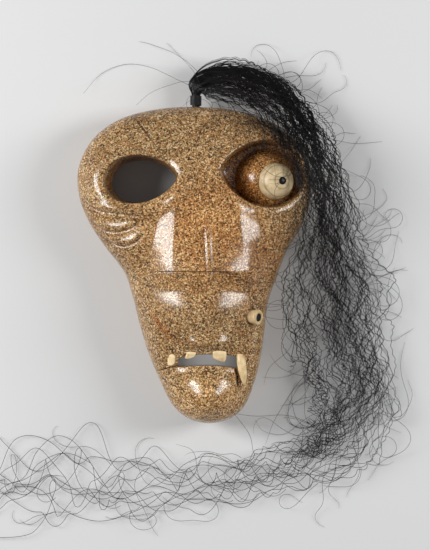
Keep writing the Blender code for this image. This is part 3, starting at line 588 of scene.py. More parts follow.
# The ivory eyeball. It is a turned ivory ball with a flat back, let into the stone eyeball in its socket.
# Its black pupil is a small turned plug of baleen, pressed into a bore that looks to the side.
IVORY_EYE, IVORY_EYE_RADIUS, IVORY_EYE_TOP, IVORY_EYE_BACK = at(0.333, 0.263), 0.0146, 0.0580, 0.4
PUPIL_RADIUS, PUPIL_LENGTH, PUPIL_TILT = 0.0029, 0.005, math.radians(24)
FIT_GAP, PRESSED_GAP = 0.0003, 0.0001
ivory_centre = Vector((*IVORY_EYE, IVORY_EYE_TOP - IVORY_EYE_RADIUS))


def placed(made, turn=None, place=(0, 0, 0)):
    """Turns and moves a piece within its own mesh, so that its object stays at the origin."""
    made.data.transform(Matrix.Translation(place) @ (turn or Matrix()))
    return made


def turned(name, profile, steps, turn=None, place=(0, 0, 0)):
    """A body turned on a lathe from its profile of (radius, height) points, on the axis at both ends."""
    bpy.ops.object.select_all(action="DESELECT")
    mesh = bpy.data.meshes.new(name)
    mesh.from_pydata([(radius, 0, height) for radius, height in profile],
                     [(i, i + 1) for i in range(len(profile) - 1)], [])
    made = bpy.data.objects.new(name, mesh)
    bpy.context.scene.collection.objects.link(made)
    made.select_set(True)
    bpy.context.view_layer.objects.active = made
    edit(bpy.ops.mesh.spin, steps=steps, angle=2 * math.pi, center=(0, 0, 0), axis=(0, 0, 1))
    edit(bpy.ops.mesh.remove_doubles, threshold=0.000005)
    edit(bpy.ops.mesh.normals_make_consistent, inside=False)
    return placed(made, turn, place)


def flat_backed_ball(name, radius, back, segments):
    """A ball that looks the pupil's way, cut off flat at its back."""
    bpy.ops.object.select_all(action="DESELECT")
    bpy.ops.mesh.primitive_uv_sphere_add(segments=segments, ring_count=segments // 2, radius=radius)
    made = bpy.context.active_object
    made.name = made.data.name = name
    made.data.transform(Matrix.Rotation(PUPIL_TILT, 4, "Y"))
    edit(bpy.ops.mesh.bisect, plane_co=(0, 0, -back), plane_no=(0, 0, 1), clear_inner=True, use_fill=True)
    return placed(made, place=ivory_centre)


def cut_away(made, cutter):
    """Cuts one piece with another, which is used up."""
    apply_modifier(made, "BOOLEAN", operation="DIFFERENCE", solver="MANIFOLD", object=cutter)
    bpy.data.objects.remove(cutter)


back = IVORY_EYE_BACK * IVORY_EYE_RADIUS
ivory_ball = flat_backed_ball("ivory_ball", IVORY_EYE_RADIUS, back, 96)
cutters.append(flat_backed_ball("ball_seat", IVORY_EYE_RADIUS + FIT_GAP, back + FIT_GAP, 96))
reach = IVORY_EYE_RADIUS * 0.985
looking = Matrix.Rotation(PUPIL_TILT, 4, "Y")
bore, bore_mouth = PUPIL_RADIUS + PRESSED_GAP, PUPIL_RADIUS + FIT_GAP
bore_floor, plug_foot = reach - PUPIL_LENGTH, reach - 0.9 * PUPIL_LENGTH
cut_away(ivory_ball, turned("pupil_bore", (
    (0, reach + 0.003), (bore_mouth, reach + 0.003), (bore_mouth, reach - 0.0002),
    (bore, reach - 0.0004), (bore, bore_floor), (0, bore_floor)), 64, looking, ivory_centre))
pupil = turned("pupil_plug", (
    (0, reach + 0.0006), (0.4 * PUPIL_RADIUS, reach + 0.00054), (0.7 * PUPIL_RADIUS, reach + 0.00032),
    (0.92 * PUPIL_RADIUS, reach + 0.0001), (PUPIL_RADIUS, reach - 0.0001), (PUPIL_RADIUS, plug_foot),
    (0, plug_foot)), 48, looking, ivory_centre)
shade(ivory_ball)
shade(pupil)


# The period of a wave texture of scale 1
WAVE_PERIOD = 0.314


def ivory(name, light, dark, centre, turn, ring, line):
    """Old ivory: thin growth lines a ring apart round an axis, and soft patches worn paler or darker."""
    finish, shader, node, connect, ramp = new_finish(name)
    place = node("TexCoord").outputs["Object"]
    own = node("Mapping", {"Vector": place, "Location": centre, "Rotation": turn}, vector_type="TEXTURE")
    rings = node("TexWave", {"Vector": own.outputs[0], "Scale": WAVE_PERIOD / ring, "Distortion": 1.2,
                             "Detail": 2, "Detail Scale": 0.8}, wave_type="RINGS", rings_direction="Z")
    stain = node("TexNoise", {"Vector": place, "Scale": 210, "Detail": 4, "Roughness": 0.55})
    colour = ramp(stain.outputs[0], ((0.30, dark), (0.60, light)))
    growth = node("MapRange", {0: rings.outputs[1], 1: 0, 2: 0.09, 3: line, 4: 1},
                  interpolation_type="SMOOTHSTEP")
    lined = node("Mix", {0: 1.0, 6: colour, 7: growth.outputs[0]}, data_type="RGBA", blend_type="MULTIPLY")
    worn = node("MapRange", {0: stain.outputs[0], 1: 0.3, 2: 0.7, 3: 0.30, 4: 0.48})
    bump = node("Bump", {"Height": stain.outputs[0], "Strength": 0.2, "Distance": 0.0002})
    connect(shader, {"Base Color": lined.outputs[2], "IOR": 1.45})
    connect(shader, {"Roughness": worn.outputs[0], "Normal": bump.outputs[0]})
    return finish


def baleen(name):
    """Black baleen, polished, with a faint fibre in it."""
    finish, shader, node, connect, ramp = new_finish(name)
    place = node("TexCoord").outputs["Object"]
    long = node("Mapping", {"Vector": place, "Scale": (1, 6, 1)})
    fibre = node("TexNoise", {"Vector": long.outputs[0], "Scale": 700, "Detail": 3})
    colour = ramp(fibre.outputs[0], ((0.3, (0.003, 0.003, 0.004)), (0.75, (0.014, 0.013, 0.014))))
    gloss = node("MapRange", {0: fibre.outputs[0], 3: 0.22, 4: 0.38})
    connect(shader, {"Base Color": colour, "Roughness": gloss.outputs[0], "IOR": 1.3})
    return finish


black_baleen = baleen("black_baleen")
give(ivory_ball, ivory("ivory_of_the_eye", (0.74, 0.58, 0.35), (0.52, 0.38, 0.20), ivory_centre,
                       (0, PUPIL_TILT, 0), 0.0062, 0.62))
give(pupil, black_baleen)
for made, node_name, slot in ((ivory_ball, "ivory_eye", "ivory"), (pupil, "pupil", "baleen")):
    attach(made, "root")
    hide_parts(node_name)


# The cheek peg. It is a short ivory cylinder with a rounded rim, set slantwise in a hole in the cheek.
# A disc of black baleen is let into its end.
CHEEK_PEG, PEG_TURN, PEG_LEAN = at(0.2400, -0.162), math.radians(-8), math.radians(55)
PEG_RADIUS, PEG_LENGTH, PEG_OUTSIDE, PEG_RIM = 0.0059, 0.0148, 0.0058, 0.0009
DISC_RADIUS, DISC_DEPTH, DISC_SUNK = 0.0032, 0.004, 0.0001


def dome_height(x, y):
    """The plain dome's height, and how far out each place is: 0 at its centre and 1 at the outline."""
    dx, dy = x - DOME_CENTRE[0], y - DOME_CENTRE[1]
    out = np.hypot(dx, dy) / outline_radius(np.arctan2(dy, dx))
    rise = (1 - np.clip(out, 0, 1) ** DOME_POWER) ** (1 / DOME_POWER)
    return SIDE_HEIGHT + (FACE_DEPTH - SIDE_HEIGHT) * rise, out


def carved_height(place):
    """The height of the carved face at a place, as if no mouth or eye had been cut."""
    x, y = (np.array([value]) for value in place)
    return float(dome_height(x, y)[0][0] + carving(x, y)[0])


peg_turn = Matrix.Rotation(PEG_TURN, 4, "Z") @ Matrix.Rotation(PEG_LEAN, 4, "Y")
peg_base = Vector((*CHEEK_PEG, carved_height(CHEEK_PEG)))
low = PEG_OUTSIDE - PEG_LENGTH
rim = [(PEG_RADIUS - PEG_RIM * (1 - math.sin(a)), PEG_OUTSIDE - PEG_RIM * (1 - math.cos(a)))
       for a in np.linspace(0, math.pi / 2, 7)]
disc_floor, disc_hole = PEG_OUTSIDE - DISC_DEPTH, DISC_RADIUS + PRESSED_GAP
cheek_peg = turned("ivory_peg", (
    (0, disc_floor), (disc_hole, disc_floor), (disc_hole, PEG_OUTSIDE - 0.0003),
    (DISC_RADIUS + 0.0004, PEG_OUTSIDE), *rim, (PEG_RADIUS, PEG_OUTSIDE - 0.003),
    (0.93 * PEG_RADIUS, PEG_OUTSIDE - 0.005), (0.93 * PEG_RADIUS, low), (0, low)), 72, peg_turn, peg_base)
disc_top = PEG_OUTSIDE - DISC_SUNK
cheek_disc = turned("black_disc", (
    (0, disc_top + 0.0001), (0.6 * DISC_RADIUS, disc_top), (0.92 * DISC_RADIUS, disc_top - 0.0001),
    (DISC_RADIUS, disc_top - 0.0004), (DISC_RADIUS, disc_floor + 0.0002), (0, disc_floor + 0.0002)),
    56, peg_turn, peg_base)
seat_radius, seat_floor, above_skin = PEG_RADIUS + FIT_GAP, low - FIT_GAP, 0.02
cutters.append(turned("peg_hole", (
    (0, above_skin), (seat_radius, above_skin), (seat_radius, seat_floor), (0, seat_floor)),
    72, peg_turn, peg_base))
shade(cheek_peg)
shade(cheek_disc)
give(cheek_peg, ivory("ivory_of_the_peg", (0.72, 0.53, 0.29), (0.50, 0.33, 0.15), peg_base,
                      peg_turn.to_euler(), 0.0021, 0.75))
give(cheek_disc, black_baleen)
for made, node_name, slot in ((cheek_peg, "cheek_peg", "ivory"), (cheek_disc, "cheek_peg_disc", "baleen")):
    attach(made, "root")
    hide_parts(node_name)


# The teeth. Three squared ivory pegs are let into the edge of the upper lip, each cut a little differently.
# A long ivory fang, oval in section, hangs from the mouth's other corner over the carved line below it.
TOOTH_THICKNESS, TOOTH_PROUD, TOOTH_ROUND, CORNER_EASE = 0.007, 0.0012, 0.0011, 0.28
FANG_ROOT_SUNK, FANG_TIP_PROUD, FANG_BELLY, FANG_SIDES = 0.001, 0.0035, 0.0015, 40
# Each tooth: its node, the lean of its growth lines in degrees and its corners
TEETH = (
    ("tooth_left", -12, ((-0.1076, -0.2787), (-0.0850, -0.2782), (-0.0802, -0.2924), (-0.0885, -0.3145),
                         (-0.1180, -0.3158), (-0.1187, -0.3054), (-0.1128, -0.2885))),
    ("tooth_middle", -4, ((-0.0393, -0.2709), (0.0051, -0.2691), (-0.0011, -0.2834), (-0.0105, -0.2904),
                          (-0.0400, -0.2958), (-0.0441, -0.2872), (-0.0365, -0.2782))),
    ("tooth_right", 4, ((0.0727, -0.2644), (0.1247, -0.2678), (0.1303, -0.2782), (0.1247, -0.3054),
                        (0.1084, -0.3031), (0.0762, -0.2937), (0.0710, -0.2808))),
)
# Down the fang: the height of each section, then its left and right edge
FANG = (
    (-0.2785, 0.1713, 0.1963), (-0.2929, 0.1719, 0.2076), (-0.3129, 0.1742, 0.2118),
    (-0.3348, 0.1800, 0.2138), (-0.3500, 0.1862, 0.2140), (-0.3661, 0.1942, 0.2097),
    (-0.3755, 0.2005, 0.2070), (-0.3790, 0.2038, 0.2048),
)


def facing(place, share):
    """The turn that tips an upright piece towards the way the carved face looks at a place."""
    step = 0.0025
    here = carved_height(place)
    rightward, upward = ((here - carved_height(place + way)) / step for way in ((step, 0), (0, step)))
    upright = Vector((0, 0, 1))
    return upright.rotation_difference(upright + Vector((rightward, upward, 0)) * share).to_matrix().to_4x4()


def tooth_body(name, edge, grow, top):
    """A peg with a tooth's outline and rounded edges; grown, with a high top, it is the seat for it."""
    low = TOOTH_PROUD - TOOTH_THICKNESS - grow
    sections = []
    for share in np.linspace(0, 1, 6):
        turn = share * math.pi / 2
        sections.append((TOOTH_ROUND * (1 - math.sin(turn)), low + TOOTH_ROUND * (1 - math.cos(turn))))
    for share in np.linspace(0, 1, 8):
        turn = share * math.pi / 2
        sections.append((TOOTH_ROUND * (1 - math.cos(turn)), top - TOOTH_ROUND * (1 - math.sin(turn))))
    rings = []
    for inset, height in sections:
        ring = grown(edge, grow - inset)
        rings.append(np.column_stack([ring, np.full(len(ring), height)]))
    rings.append(rings[-1] * (0.7, 0.7, 1) + (0, 0, 0.0002))
    return loft(name, rings)


def tooth_outline(corners):
    """The tooth's outline round its own middle, anticlockwise, its corners eased."""
    points = np.array([at(*corner) for corner in corners])[::-1]
    eased = []
    for before, here, after in zip(np.roll(points, 1, axis=0), points, np.roll(points, -1, axis=0)):
        eased += [here + (before - here) * CORNER_EASE, here + (after - here) * CORNER_EASE]
    eased = np.array(eased)
    middle = (eased.max(axis=0) + eased.min(axis=0)) / 2
    return curve_through(eased, 4, closed=True) - middle, middle


def fang_body(name, grow):
    """The long pointed tooth, lofted down its two edges."""
    left, right = (curve_through([at(row[side], row[0]) for row in FANG], 5) for side in (1, 2))
    root_level = carved_height(left[0]) - FANG_ROOT_SUNK
    tip_level = carved_height(left[-1]) + FANG_TIP_PROUD
    a = np.arange(FANG_SIDES) * 2 * math.pi / FANG_SIDES
    sections = []
    for i, (l, r) in enumerate(zip(left, right)):
        t = i / (len(left) - 1)
        half = (r[0] - l[0]) / 2 + grow
        y = l[1] + (grow if i == 0 else 0) - (grow if t == 1 else 0)
        level = root_level + (tip_level - root_level) * t + FANG_BELLY * math.sin(math.pi * t)
        sections.append(np.column_stack([(l[0] + r[0]) / 2 + half * np.cos(a), np.full(FANG_SIDES, y),
                                         level + 1.05 * half * np.sin(a)]))
    return loft(name, sections)


for name, lean, corners in TEETH:
    edge, middle = tooth_outline(corners)
    stand = Matrix.Translation((*middle, carved_height(middle))) @ facing(middle, 0.8)
    tooth = tooth_body(name.replace("tooth", "ivory_tooth"), edge, 0, TOOTH_PROUD)
    tooth.data.transform(stand)
    seat = tooth_body("tooth_seat", edge, FIT_GAP, TOOTH_PROUD + 0.01)
    seat.data.transform(stand)
    cutters.append(seat)
    shade(tooth, 50)
    give(tooth, ivory("ivory_of_" + name, (0.98, 0.77, 0.46), (0.76, 0.54, 0.27), (*middle, 0.04),
                      (math.radians(80), 0, math.radians(lean)), 0.0017, 0.93))
    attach(tooth, "root")
    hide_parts(name)
fang = fang_body("ivory_fang", 0)
shade(fang, 50)
give(fang, ivory("ivory_of_the_fang", (0.84, 0.63, 0.35), (0.62, 0.44, 0.21), (*at(0.205, -0.31), 0.05),
                 (math.radians(86), 0, 0), 0.0017, 0.93))
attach(fang, "root")
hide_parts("fang")
cutters.append(fang_body("fang_seat", FIT_GAP))


# The binding. It is a black waxed cord, wound in close turns round the foot of the tuft,
# right outside the tuft's hole in the stone.
TUFT_RADIUS, TUFT_LEVEL, TUFT_SEAT_DEPTH = 0.0032, 0.017, 0.008
BINDING_LENGTH, BINDING_START, BINDING_TURNS, CORD_RADIUS = 0.0087, 0.0012, 8, 0.00056
foot_x = at(0, 0)[0]
foot_angle = math.atan2(1, (foot_x - DOME_CENTRE[0]) / MASK_HEIGHT)
TUFT_FOOT = Vector((foot_x, DOME_CENTRE[1] + float(outline_radius(foot_angle)), TUFT_LEVEL))
along_y = Matrix.Rotation(-math.pi / 2, 4, "X")
tuft_seat, outside = TUFT_RADIUS + FIT_GAP, 0.01
cutters.append(turned("tuft_hole", (
    (0, outside), (tuft_seat, outside), (tuft_seat, -TUFT_SEAT_DEPTH), (0, -TUFT_SEAT_DEPTH)),
    40, along_y, TUFT_FOOT))

# With the last seat known, the stone is cut by all of its openings, lines and seats
for cutter in cutters:
    cut_away(mask, cutter)
shade(mask)


def tubes(name, routes, sides):
    """One mesh of closed tubes; each route has its places, its radius at each of them and its own tone."""
    turns = np.arange(sides) * 2 * math.pi / sides
    corners, faces, tones, first = [], [], [], 0
    for places, radius, tone in routes:
        ways = np.gradient(places, axis=0)
        ways /= np.linalg.norm(ways, axis=1)[:, None]
        across = np.cross(ways, (0.0, 0.0, 1.0)) + 1e-9
        across /= np.linalg.norm(across, axis=1)[:, None]
        upright = np.cross(across, ways)
        ring = across[:, None] * np.cos(turns)[:, None] + upright[:, None] * np.sin(turns)[:, None]
        corners.append((places[:, None] + ring * radius[:, None, None]).reshape(-1, 3))
        count = len(places)
        start = first + np.arange(count - 1)[:, None] * sides
        here, after = start + np.arange(sides), start + (np.arange(sides) + 1) % sides
        faces += np.stack([after, here, here + sides, after + sides], axis=2).reshape(-1, 4).tolist()
        cap = first + np.arange(sides)
        faces += [cap.tolist(), (cap + (count - 1) * sides)[::-1].tolist()]
        tones.append(np.full(count * sides, tone))
        first += count * sides
    mesh = bpy.data.meshes.new(name)
    mesh.from_pydata(np.vstack(corners), [], faces)
    tone_values = mesh.attributes.new("tone", "FLOAT", "POINT").data
    tone_values.foreach_set("value", np.concatenate(tones).astype(np.float32))
    mesh.shade_smooth()
    made = bpy.data.objects.new(name, mesh)
    bpy.context.scene.collection.objects.link(made)
    return made


STEPS_A_TURN = 28
coil_turn = np.linspace(0, 2 * math.pi * BINDING_TURNS, BINDING_TURNS * STEPS_A_TURN + 1)
climb = (BINDING_LENGTH - 2 * CORD_RADIUS) * coil_turn / coil_turn[-1] + BINDING_START + CORD_RADIUS
coil_radius = TUFT_RADIUS + FIT_GAP + CORD_RADIUS
cord_places = np.column_stack([TUFT_FOOT[0] + coil_radius * np.sin(coil_turn), TUFT_FOOT[1] + climb,
                               TUFT_FOOT[2] - coil_radius * np.cos(coil_turn)])
binding = tubes("waxed_cord", [(cord_places, np.full(len(cord_places), CORD_RADIUS), 0.5)], 10)


def waxed_cord():
    """Black cord with a soft wax sheen and the twist of its yarns."""
    finish, shader, node, connect, ramp = new_finish("waxed_cord")
    place = node("TexCoord").outputs["Object"]
    twist = node("TexNoise", {"Vector": place, "Scale": 1500, "Detail": 3})
    colour = ramp(twist.outputs[0], ((0.3, (0.004, 0.004, 0.005)), (0.75, (0.020, 0.019, 0.021))))
    bump = node("Bump", {"Height": twist.outputs[0], "Strength": 0.5, "Distance": 0.0002})
    connect(shader, {"Base Color": colour, "Roughness": 0.42, "Normal": bump.outputs[0]})
    return finish


give(binding, waxed_cord())
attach(binding, "root")
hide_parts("binding")


# The horsehair. Hundreds of long black hairs are plugged into the stone and held by the binding. They leave
# it side by side, cling together in strands that crimp more and more, and thin out to a few loose ends.
# Each hair is a tube of its own; together they lie on the stone's shoulder and then on the ground.
HAIRS, STRANDS, HAIR_STEP = 520, 96, 0.0006
DRAPE_CLEARANCE, DRAPE_SLOPE, TURN_OVER = 0.004, 0.95, 0.90
# Each station along the tuft: its place as shares of the mask, its half width and its thickness
TUFT_ROUTE = (
    (0.004, 0.562, 0.0080, 0.0080), (0.062, 0.572, 0.0150, 0.0095), (0.150, 0.560, 0.0185, 0.0110),
    (0.240, 0.538, 0.0200, 0.0120), (0.335, 0.505, 0.0195, 0.0130), (0.425, 0.440, 0.0185, 0.0140),
    (0.498, 0.338, 0.0185, 0.0150), (0.550, 0.220, 0.0190, 0.0160), (0.566, 0.108, 0.0215, 0.0170),
    (0.566, -0.005, 0.0315, 0.0185), (0.578, -0.115, 0.0355, 0.0200), (0.606, -0.225, 0.0350, 0.0210),
    (0.640, -0.330, 0.0325, 0.0205), (0.660, -0.430, 0.0300, 0.0195), (0.640, -0.520, 0.0280, 0.0180),
    (0.570, -0.590, 0.0240, 0.0160), (0.455, -0.630, 0.0190, 0.0140), (0.325, -0.655, 0.0165, 0.0120),
    (0.170, -0.680, 0.0160, 0.0100), (0.000, -0.700, 0.0160, 0.0085), (-0.170, -0.710, 0.0180, 0.0075),
    (-0.340, -0.705, 0.0210, 0.0070), (-0.510, -0.690, 0.0240, 0.0065), (-0.680, -0.680, 0.0260, 0.0060),
    (-0.830, -0.690, 0.0240, 0.0055), (-0.960, -0.710, 0.0180, 0.0045), (-1.050, -0.730, 0.0100, 0.0030),
)
# Along the tuft in metres: hairs left, then where its dense core lies across it, -1 at the outer edge
HAIRS_LEFT = ((0.03, 520), (0.05, 330), (0.08, 230), (0.11, 170), (0.14, 126), (0.18, 86), (0.22, 72),
              (0.30, 70), (0.35, 62), (0.375, 50), (0.40, 32), (0.43, 20), (0.50, 15), (0.65, 12), (0.70, 6))
CORE = ((0.00, 0.0), (0.02, -0.40), (0.05, -0.60), (0.075, -0.5), (0.10, -0.1), (0.13, 0.1), (0.16, 0.1),
        (0.19, 0.1), (0.217, -0.2), (0.273, -0.2), (0.30, -0.25), (0.325, -0.4), (0.35, 0.1), (0.375, 0.35),
        (0.5, 0.2))
# The share of the strands that lie in the core, and how widely they lie there
CORE_SHARE, CORE_SPREAD = 0.34, 0.18
# Along the tuft: the length and height of a hair's small crimps, then of its large swings
CRIMPS = ((0.00, 0.040, 0.0000, 0.090, 0.0000), (0.035, 0.0085, 0.0004, 0.060, 0.0010),
          (0.07, 0.0075, 0.0005, 0.050, 0.0016), (0.12, 0.0062, 0.0006, 0.045, 0.0020),
          (0.20, 0.0056, 0.0007, 0.036, 0.0030), (0.32, 0.0060, 0.0008, 0.036, 0.0038),
          (0.37, 0.0100, 0.0012, 0.045, 0.0045), (0.42, 0.0220, 0.0018, 0.060, 0.0060),
          (0.50, 0.0300, 0.0022, 0.075, 0.0085), (0.58, 0.0350, 0.0026, 0.085, 0.0150),
          (0.75, 0.0350, 0.0026, 0.085, 0.0150))
# Along the tuft: the middle and the half width of the part of it that its hairs are gathered in
GATHERED = ((0.010, 0.0, 1.0), (0.025, -0.18, 0.78), (0.050, -0.22, 0.80), (0.075, -0.12, 0.90),
            (0.105, 0.0, 1.0))
# Along the tuft, how far apart a hair's points are; along a hair, its radius
POINTS_APART = ((0, 0.0040), (0.04, 0.0022), (0.08, 0.0011), (0.38, 0.0011), (0.45, 0.0024))
HAIR_RADIUS = ((0, 0.00010), (0.012, 0.00015), (0.06, 0.00022), (0.14, 0.00033), (0.36, 0.00031),
               (0.46, 0.00023))
# How far past the solids' box a long hair runs before it is bent back, how much farther it may come,
# and how far out any other hair may reach
EASED_FROM, EASED_BY, ROOM = 0.008, 0.010, 0.016
LEAST_HEIGHT = 0.0004
dice = np.random.default_rng(12)
root = [(*(TUFT_FOOT + Vector((0, step, 0))).xy, TUFT_RADIUS, 2 * TUFT_RADIUS)
        for step in (FIT_GAP - TUFT_SEAT_DEPTH, 0, BINDING_LENGTH + 0.0016)]
stations = curve_through([*root, *[(*at(*stop[:2]), *stop[2:]) for stop in TUFT_ROUTE]], 16)
station_at = np.r_[0, np.cumsum(np.hypot(*np.diff(stations[:, :2], axis=0).T))] + FIT_GAP - TUFT_SEAT_DEPTH
along = np.arange(station_at[0], station_at[-1], HAIR_STEP)


def along_tuft(column):
    """One column of the stations, read off all along the tuft."""
    return np.interp(along, station_at, stations[:, column])


centre_line = np.column_stack([along_tuft(0), along_tuft(1)])
ways = np.gradient(centre_line, axis=0)
spread_out = np.hanning(31)
spread_out /= spread_out.sum()
ways = np.pad(ways, ((len(spread_out) // 2,) * 2, (0, 0)), mode="edge")
ways = np.column_stack([np.convolve(column, spread_out, mode="valid") for column in ways.T])
ways /= np.linalg.norm(ways, axis=1)[:, None]
inner_side = np.column_stack([ways[:, 1], -ways[:, 0]])


def wander(count, swing):
    """Slow random curves along the tuft, one row for each hair, about one swing in each length given."""
    t = (along - along[0]) / swing
    knots = dice.normal(size=(count, int(t[-1]) + 2))
    left, share = t.astype(int), t - t.astype(int)
    share = share * share * (3 - 2 * share)
    return knots[:, left] * (1 - share) + knots[:, left + 1] * share


def drape(x, y):
    """The height on which the hair lies: just above the stone, then down a slope to the ground."""
    edge, out = dome_height(x, y)
    dx, dy = x - DOME_CENTRE[0], y - DOME_CENTRE[1]
    radius = outline_radius(np.arctan2(dy, dx))
    shoulder = SIDE_HEIGHT + (FACE_DEPTH - SIDE_HEIGHT) * (1 - TURN_OVER**DOME_POWER) ** (1 / DOME_POWER)
    slope = shoulder + DRAPE_CLEARANCE - DRAPE_SLOPE * (out - TURN_OVER) * radius
    return np.maximum(np.where(out < TURN_OVER, edge + DRAPE_CLEARANCE, slope), 0)


def lying_height(x, y, s):
    """The height of the tuft's underside, which starts level with its hole in the stone."""
    lift = TUFT_LEVEL - TUFT_RADIUS
    lie = np.maximum(drape(x, y), lift * (1 - smooth(s, 0.064, 0.173)))
    return lift + smooth(s, 0.005, 0.064) * (lie - lift)


def eased(value, low, high, give):
    """A value that is kept in its range, the excess squeezed into a little give at each end."""
    over, under = np.maximum(value - high, 0), np.maximum(low - value, 0)
    return np.clip(value, low, high) + over / (1 + over / give) - under / (1 + under / give)


def resampled(places, step):
    """The same curve with its points an even step apart, where the step may change along it."""
    length = np.r_[0, np.cumsum(np.linalg.norm(np.diff(places, axis=0), axis=1))]
    count = np.r_[0, np.cumsum(np.diff(length) / step[1:])]
    even = np.linspace(0, count[-1], max(int(count[-1]), 4) + 1)
    made = np.column_stack([np.interp(even, count, column) for column in places.T])
    return made, np.interp(even, count, length)


half_width, thickness = along_tuft(2), along_tuft(3)
crimp_length, crimp_height, swing_length, swing_height = (
    np.interp(along, [row[0] for row in CRIMPS], [row[k] for row in CRIMPS]) for k in (1, 2, 3, 4))
left_at, hairs_left = zip(*HAIRS_LEFT[::-1])
ends = np.sort(np.interp(np.arange(HAIRS)[::-1] + dice.uniform(0, 1, HAIRS), hairs_left, left_at))
in_core = dice.uniform(0, 1, STRANDS) < CORE_SHARE
own_place = np.where(in_core, dice.normal(0, CORE_SPREAD, STRANDS), dice.uniform(-1.0, 1.0, STRANDS))[:, None]
core_place = np.interp(along, *zip(*CORE))
loosened = smooth(along, 0.010, 0.032)
# Each strand's place across the tuft, -1 to 1: slow swings, the pull of the core, then the gathering
aside = own_place + 0.22 * wander(STRANDS, 0.06) + 0.09 * wander(STRANDS, 0.022)
aside += np.where(in_core[:, None], core_place, 0) * loosened
gathered_at, gathered_middle, gathered_width = zip(*GATHERED)
aside = aside * np.interp(along, gathered_at, gathered_width) + np.interp(along, gathered_at, gathered_middle)
aside = aside * loosened + np.clip(own_place + 0.3 * core_place, -0.9, 0.9) * (1 - loosened)
level = np.clip(dice.uniform(0, 1, STRANDS)[:, None] + 0.16 * loosened * wander(STRANDS, 0.05), 0.02, 0.98)


def waves(length, change, spread):
    """The phase of each strand's wave along the tuft; its length varies by strand and on the way."""
    varied = length * np.exp(change * wander(STRANDS, 0.04) + dice.normal(0, spread, STRANDS)[:, None])
    first = dice.uniform(0, 2 * math.pi, STRANDS)[:, None]
    return first + np.cumsum(2 * math.pi * HAIR_STEP / varied, axis=1)


# Hairs that share a strand keep close to it and wave with it; the longest hairs have strands of their own
strand = np.arange(HAIRS) % STRANDS
small_wave = waves(crimp_length, 0.42, 0.3)[strand] + 0.16 * wander(HAIRS, 0.03)
large_wave = waves(swing_length, 0.25, 0.3)[strand] + 0.20 * wander(HAIRS, 0.08)
small = (crimp_height * np.exp(0.55 * wander(STRANDS, 0.015)))[strand]
large = (swing_height * np.exp(0.35 * wander(STRANDS, 0.10)))[strand]
beside = (0.0005 * dice.normal(size=HAIRS)[:, None] + 0.0005 * wander(HAIRS, 0.03)) * loosened
across = aside[strand] * half_width + beside + small * np.sin(small_wave) + large * np.sin(large_wave)
lean = dice.uniform(-0.95, 0.95, STRANDS)[strand][:, None]
onward = 0.45 * small * np.cos(small_wave) + lean * large * np.cos(large_wave) * smooth(along, 0.1, 0.4)
level = level[strand]
hair_x = centre_line[:, 0] + inner_side[:, 0] * across + ways[:, 0] * onward
hair_y = centre_line[:, 1] + inner_side[:, 1] * across + ways[:, 1] * onward
room = np.sqrt(np.clip(1 - (across / half_width) ** 2, 0.04, 1))
off_middle = (level - 0.5) * room * (1 - 0.5 * loosened * (1 - level))
hair_z = lying_height(hair_x, hair_y, along) + thickness * (0.5 + off_middle)
hair_z = np.maximum(hair_z + 0.4 * small * np.cos(small_wave + 1) * room, LEAST_HEIGHT)
bounds_low, bounds_high = (np.array(corner) for corner in solids_box)
hair_x = eased(hair_x, bounds_low[0] - EASED_FROM, bounds_high[0] + EASED_FROM, EASED_BY)
hair_y = eased(hair_y, bounds_low[1] - EASED_FROM, bounds_high[1] + EASED_FROM, EASED_BY)

step_along = np.interp(along, *zip(*POINTS_APART))
routes = []
for i in range(HAIRS):
    last = int(np.searchsorted(along, ends[i]))
    places = np.column_stack([hair_x[i, :last], hair_y[i, :last], hair_z[i, :last]])
    places, length = resampled(places, step_along[:last])
    radius = np.interp(length, *zip(*HAIR_RADIUS))
    radius *= np.interp(length, (length[-1] - 0.03, length[-1]), (1, 0.45))
    routes.append([places, radius, dice.uniform(0, 1)])


def kept_in(places):
    """The part of a hair before it first leaves the room that the tuft has."""
    low, high = bounds_low[:2] - ROOM, bounds_high[:2] + ROOM
    outside = np.any((places[:, :2] < low) | (places[:, :2] > high), axis=1)
    return places[:int(np.argmax(outside))] if outside.any() else places


STRAYS, STRAY_STEP, HAIR_CLEARANCE = 260, 0.0020, 0.0006
# Where along the tuft the strays leave it, each range in turn
STRAY_RANGES = ((0.02, 0.11), (0.03, 0.60), (0.16, 0.38), (0.16, 0.38))


def stray(start, heading, length, bends, lift):
    """A hair that leaves the tuft on its own way, in a few bends, and sinks to what is under it."""
    count = int(length / STRAY_STEP)
    share = np.linspace(0, 1, count)
    turning = np.interp(share, np.linspace(0, 1, len(bends)), bends) * length / count
    angle = heading + np.cumsum(turning)
    x = start[0] + np.cumsum(np.cos(angle)) * length / count
    y = start[1] + np.cumsum(np.sin(angle)) * length / count
    ground = lying_height(x, y, 0.5)
    sinking = (start[2] - ground[0] + lift * np.sin(math.pi * share)) * (1 - smooth(share, 0.1, 0.9))
    return kept_in(np.column_stack([x, y, ground + HAIR_CLEARANCE + sinking]))


for i in range(STRAYS):
    s = dice.uniform(*STRAY_RANGES[i % 4])
    k = int(np.searchsorted(along, s))
    side = dice.choice([-1.0, 1.0], p=[0.62, 0.38])
    off = side * dice.uniform(0.5, 1.0) * half_width[k]
    start = centre_line[k] + inner_side[k] * off
    heading = math.atan2(ways[k, 1], ways[k, 0]) - side * dice.uniform(0.2, 1.1)
    bends = dice.normal(0, 70, 6) + dice.choice([-45.0, 45.0])
    height = lying_height(*(np.array([value]) for value in start), s)[0] + thickness[k] * 0.4
    length = dice.uniform(0.02, 0.09)
    places = stray((*start, height), heading, length, bends, 0.004)
    radius = np.interp(np.linspace(0, 1, len(places)), (0, 0.8, 1), (0.00020, 0.00016, 0.00007))
    # One that would leave the tuft's room is left out
    if len(places) == int(length / STRAY_STEP):
        routes.append([places, radius, dice.uniform(0, 1)])

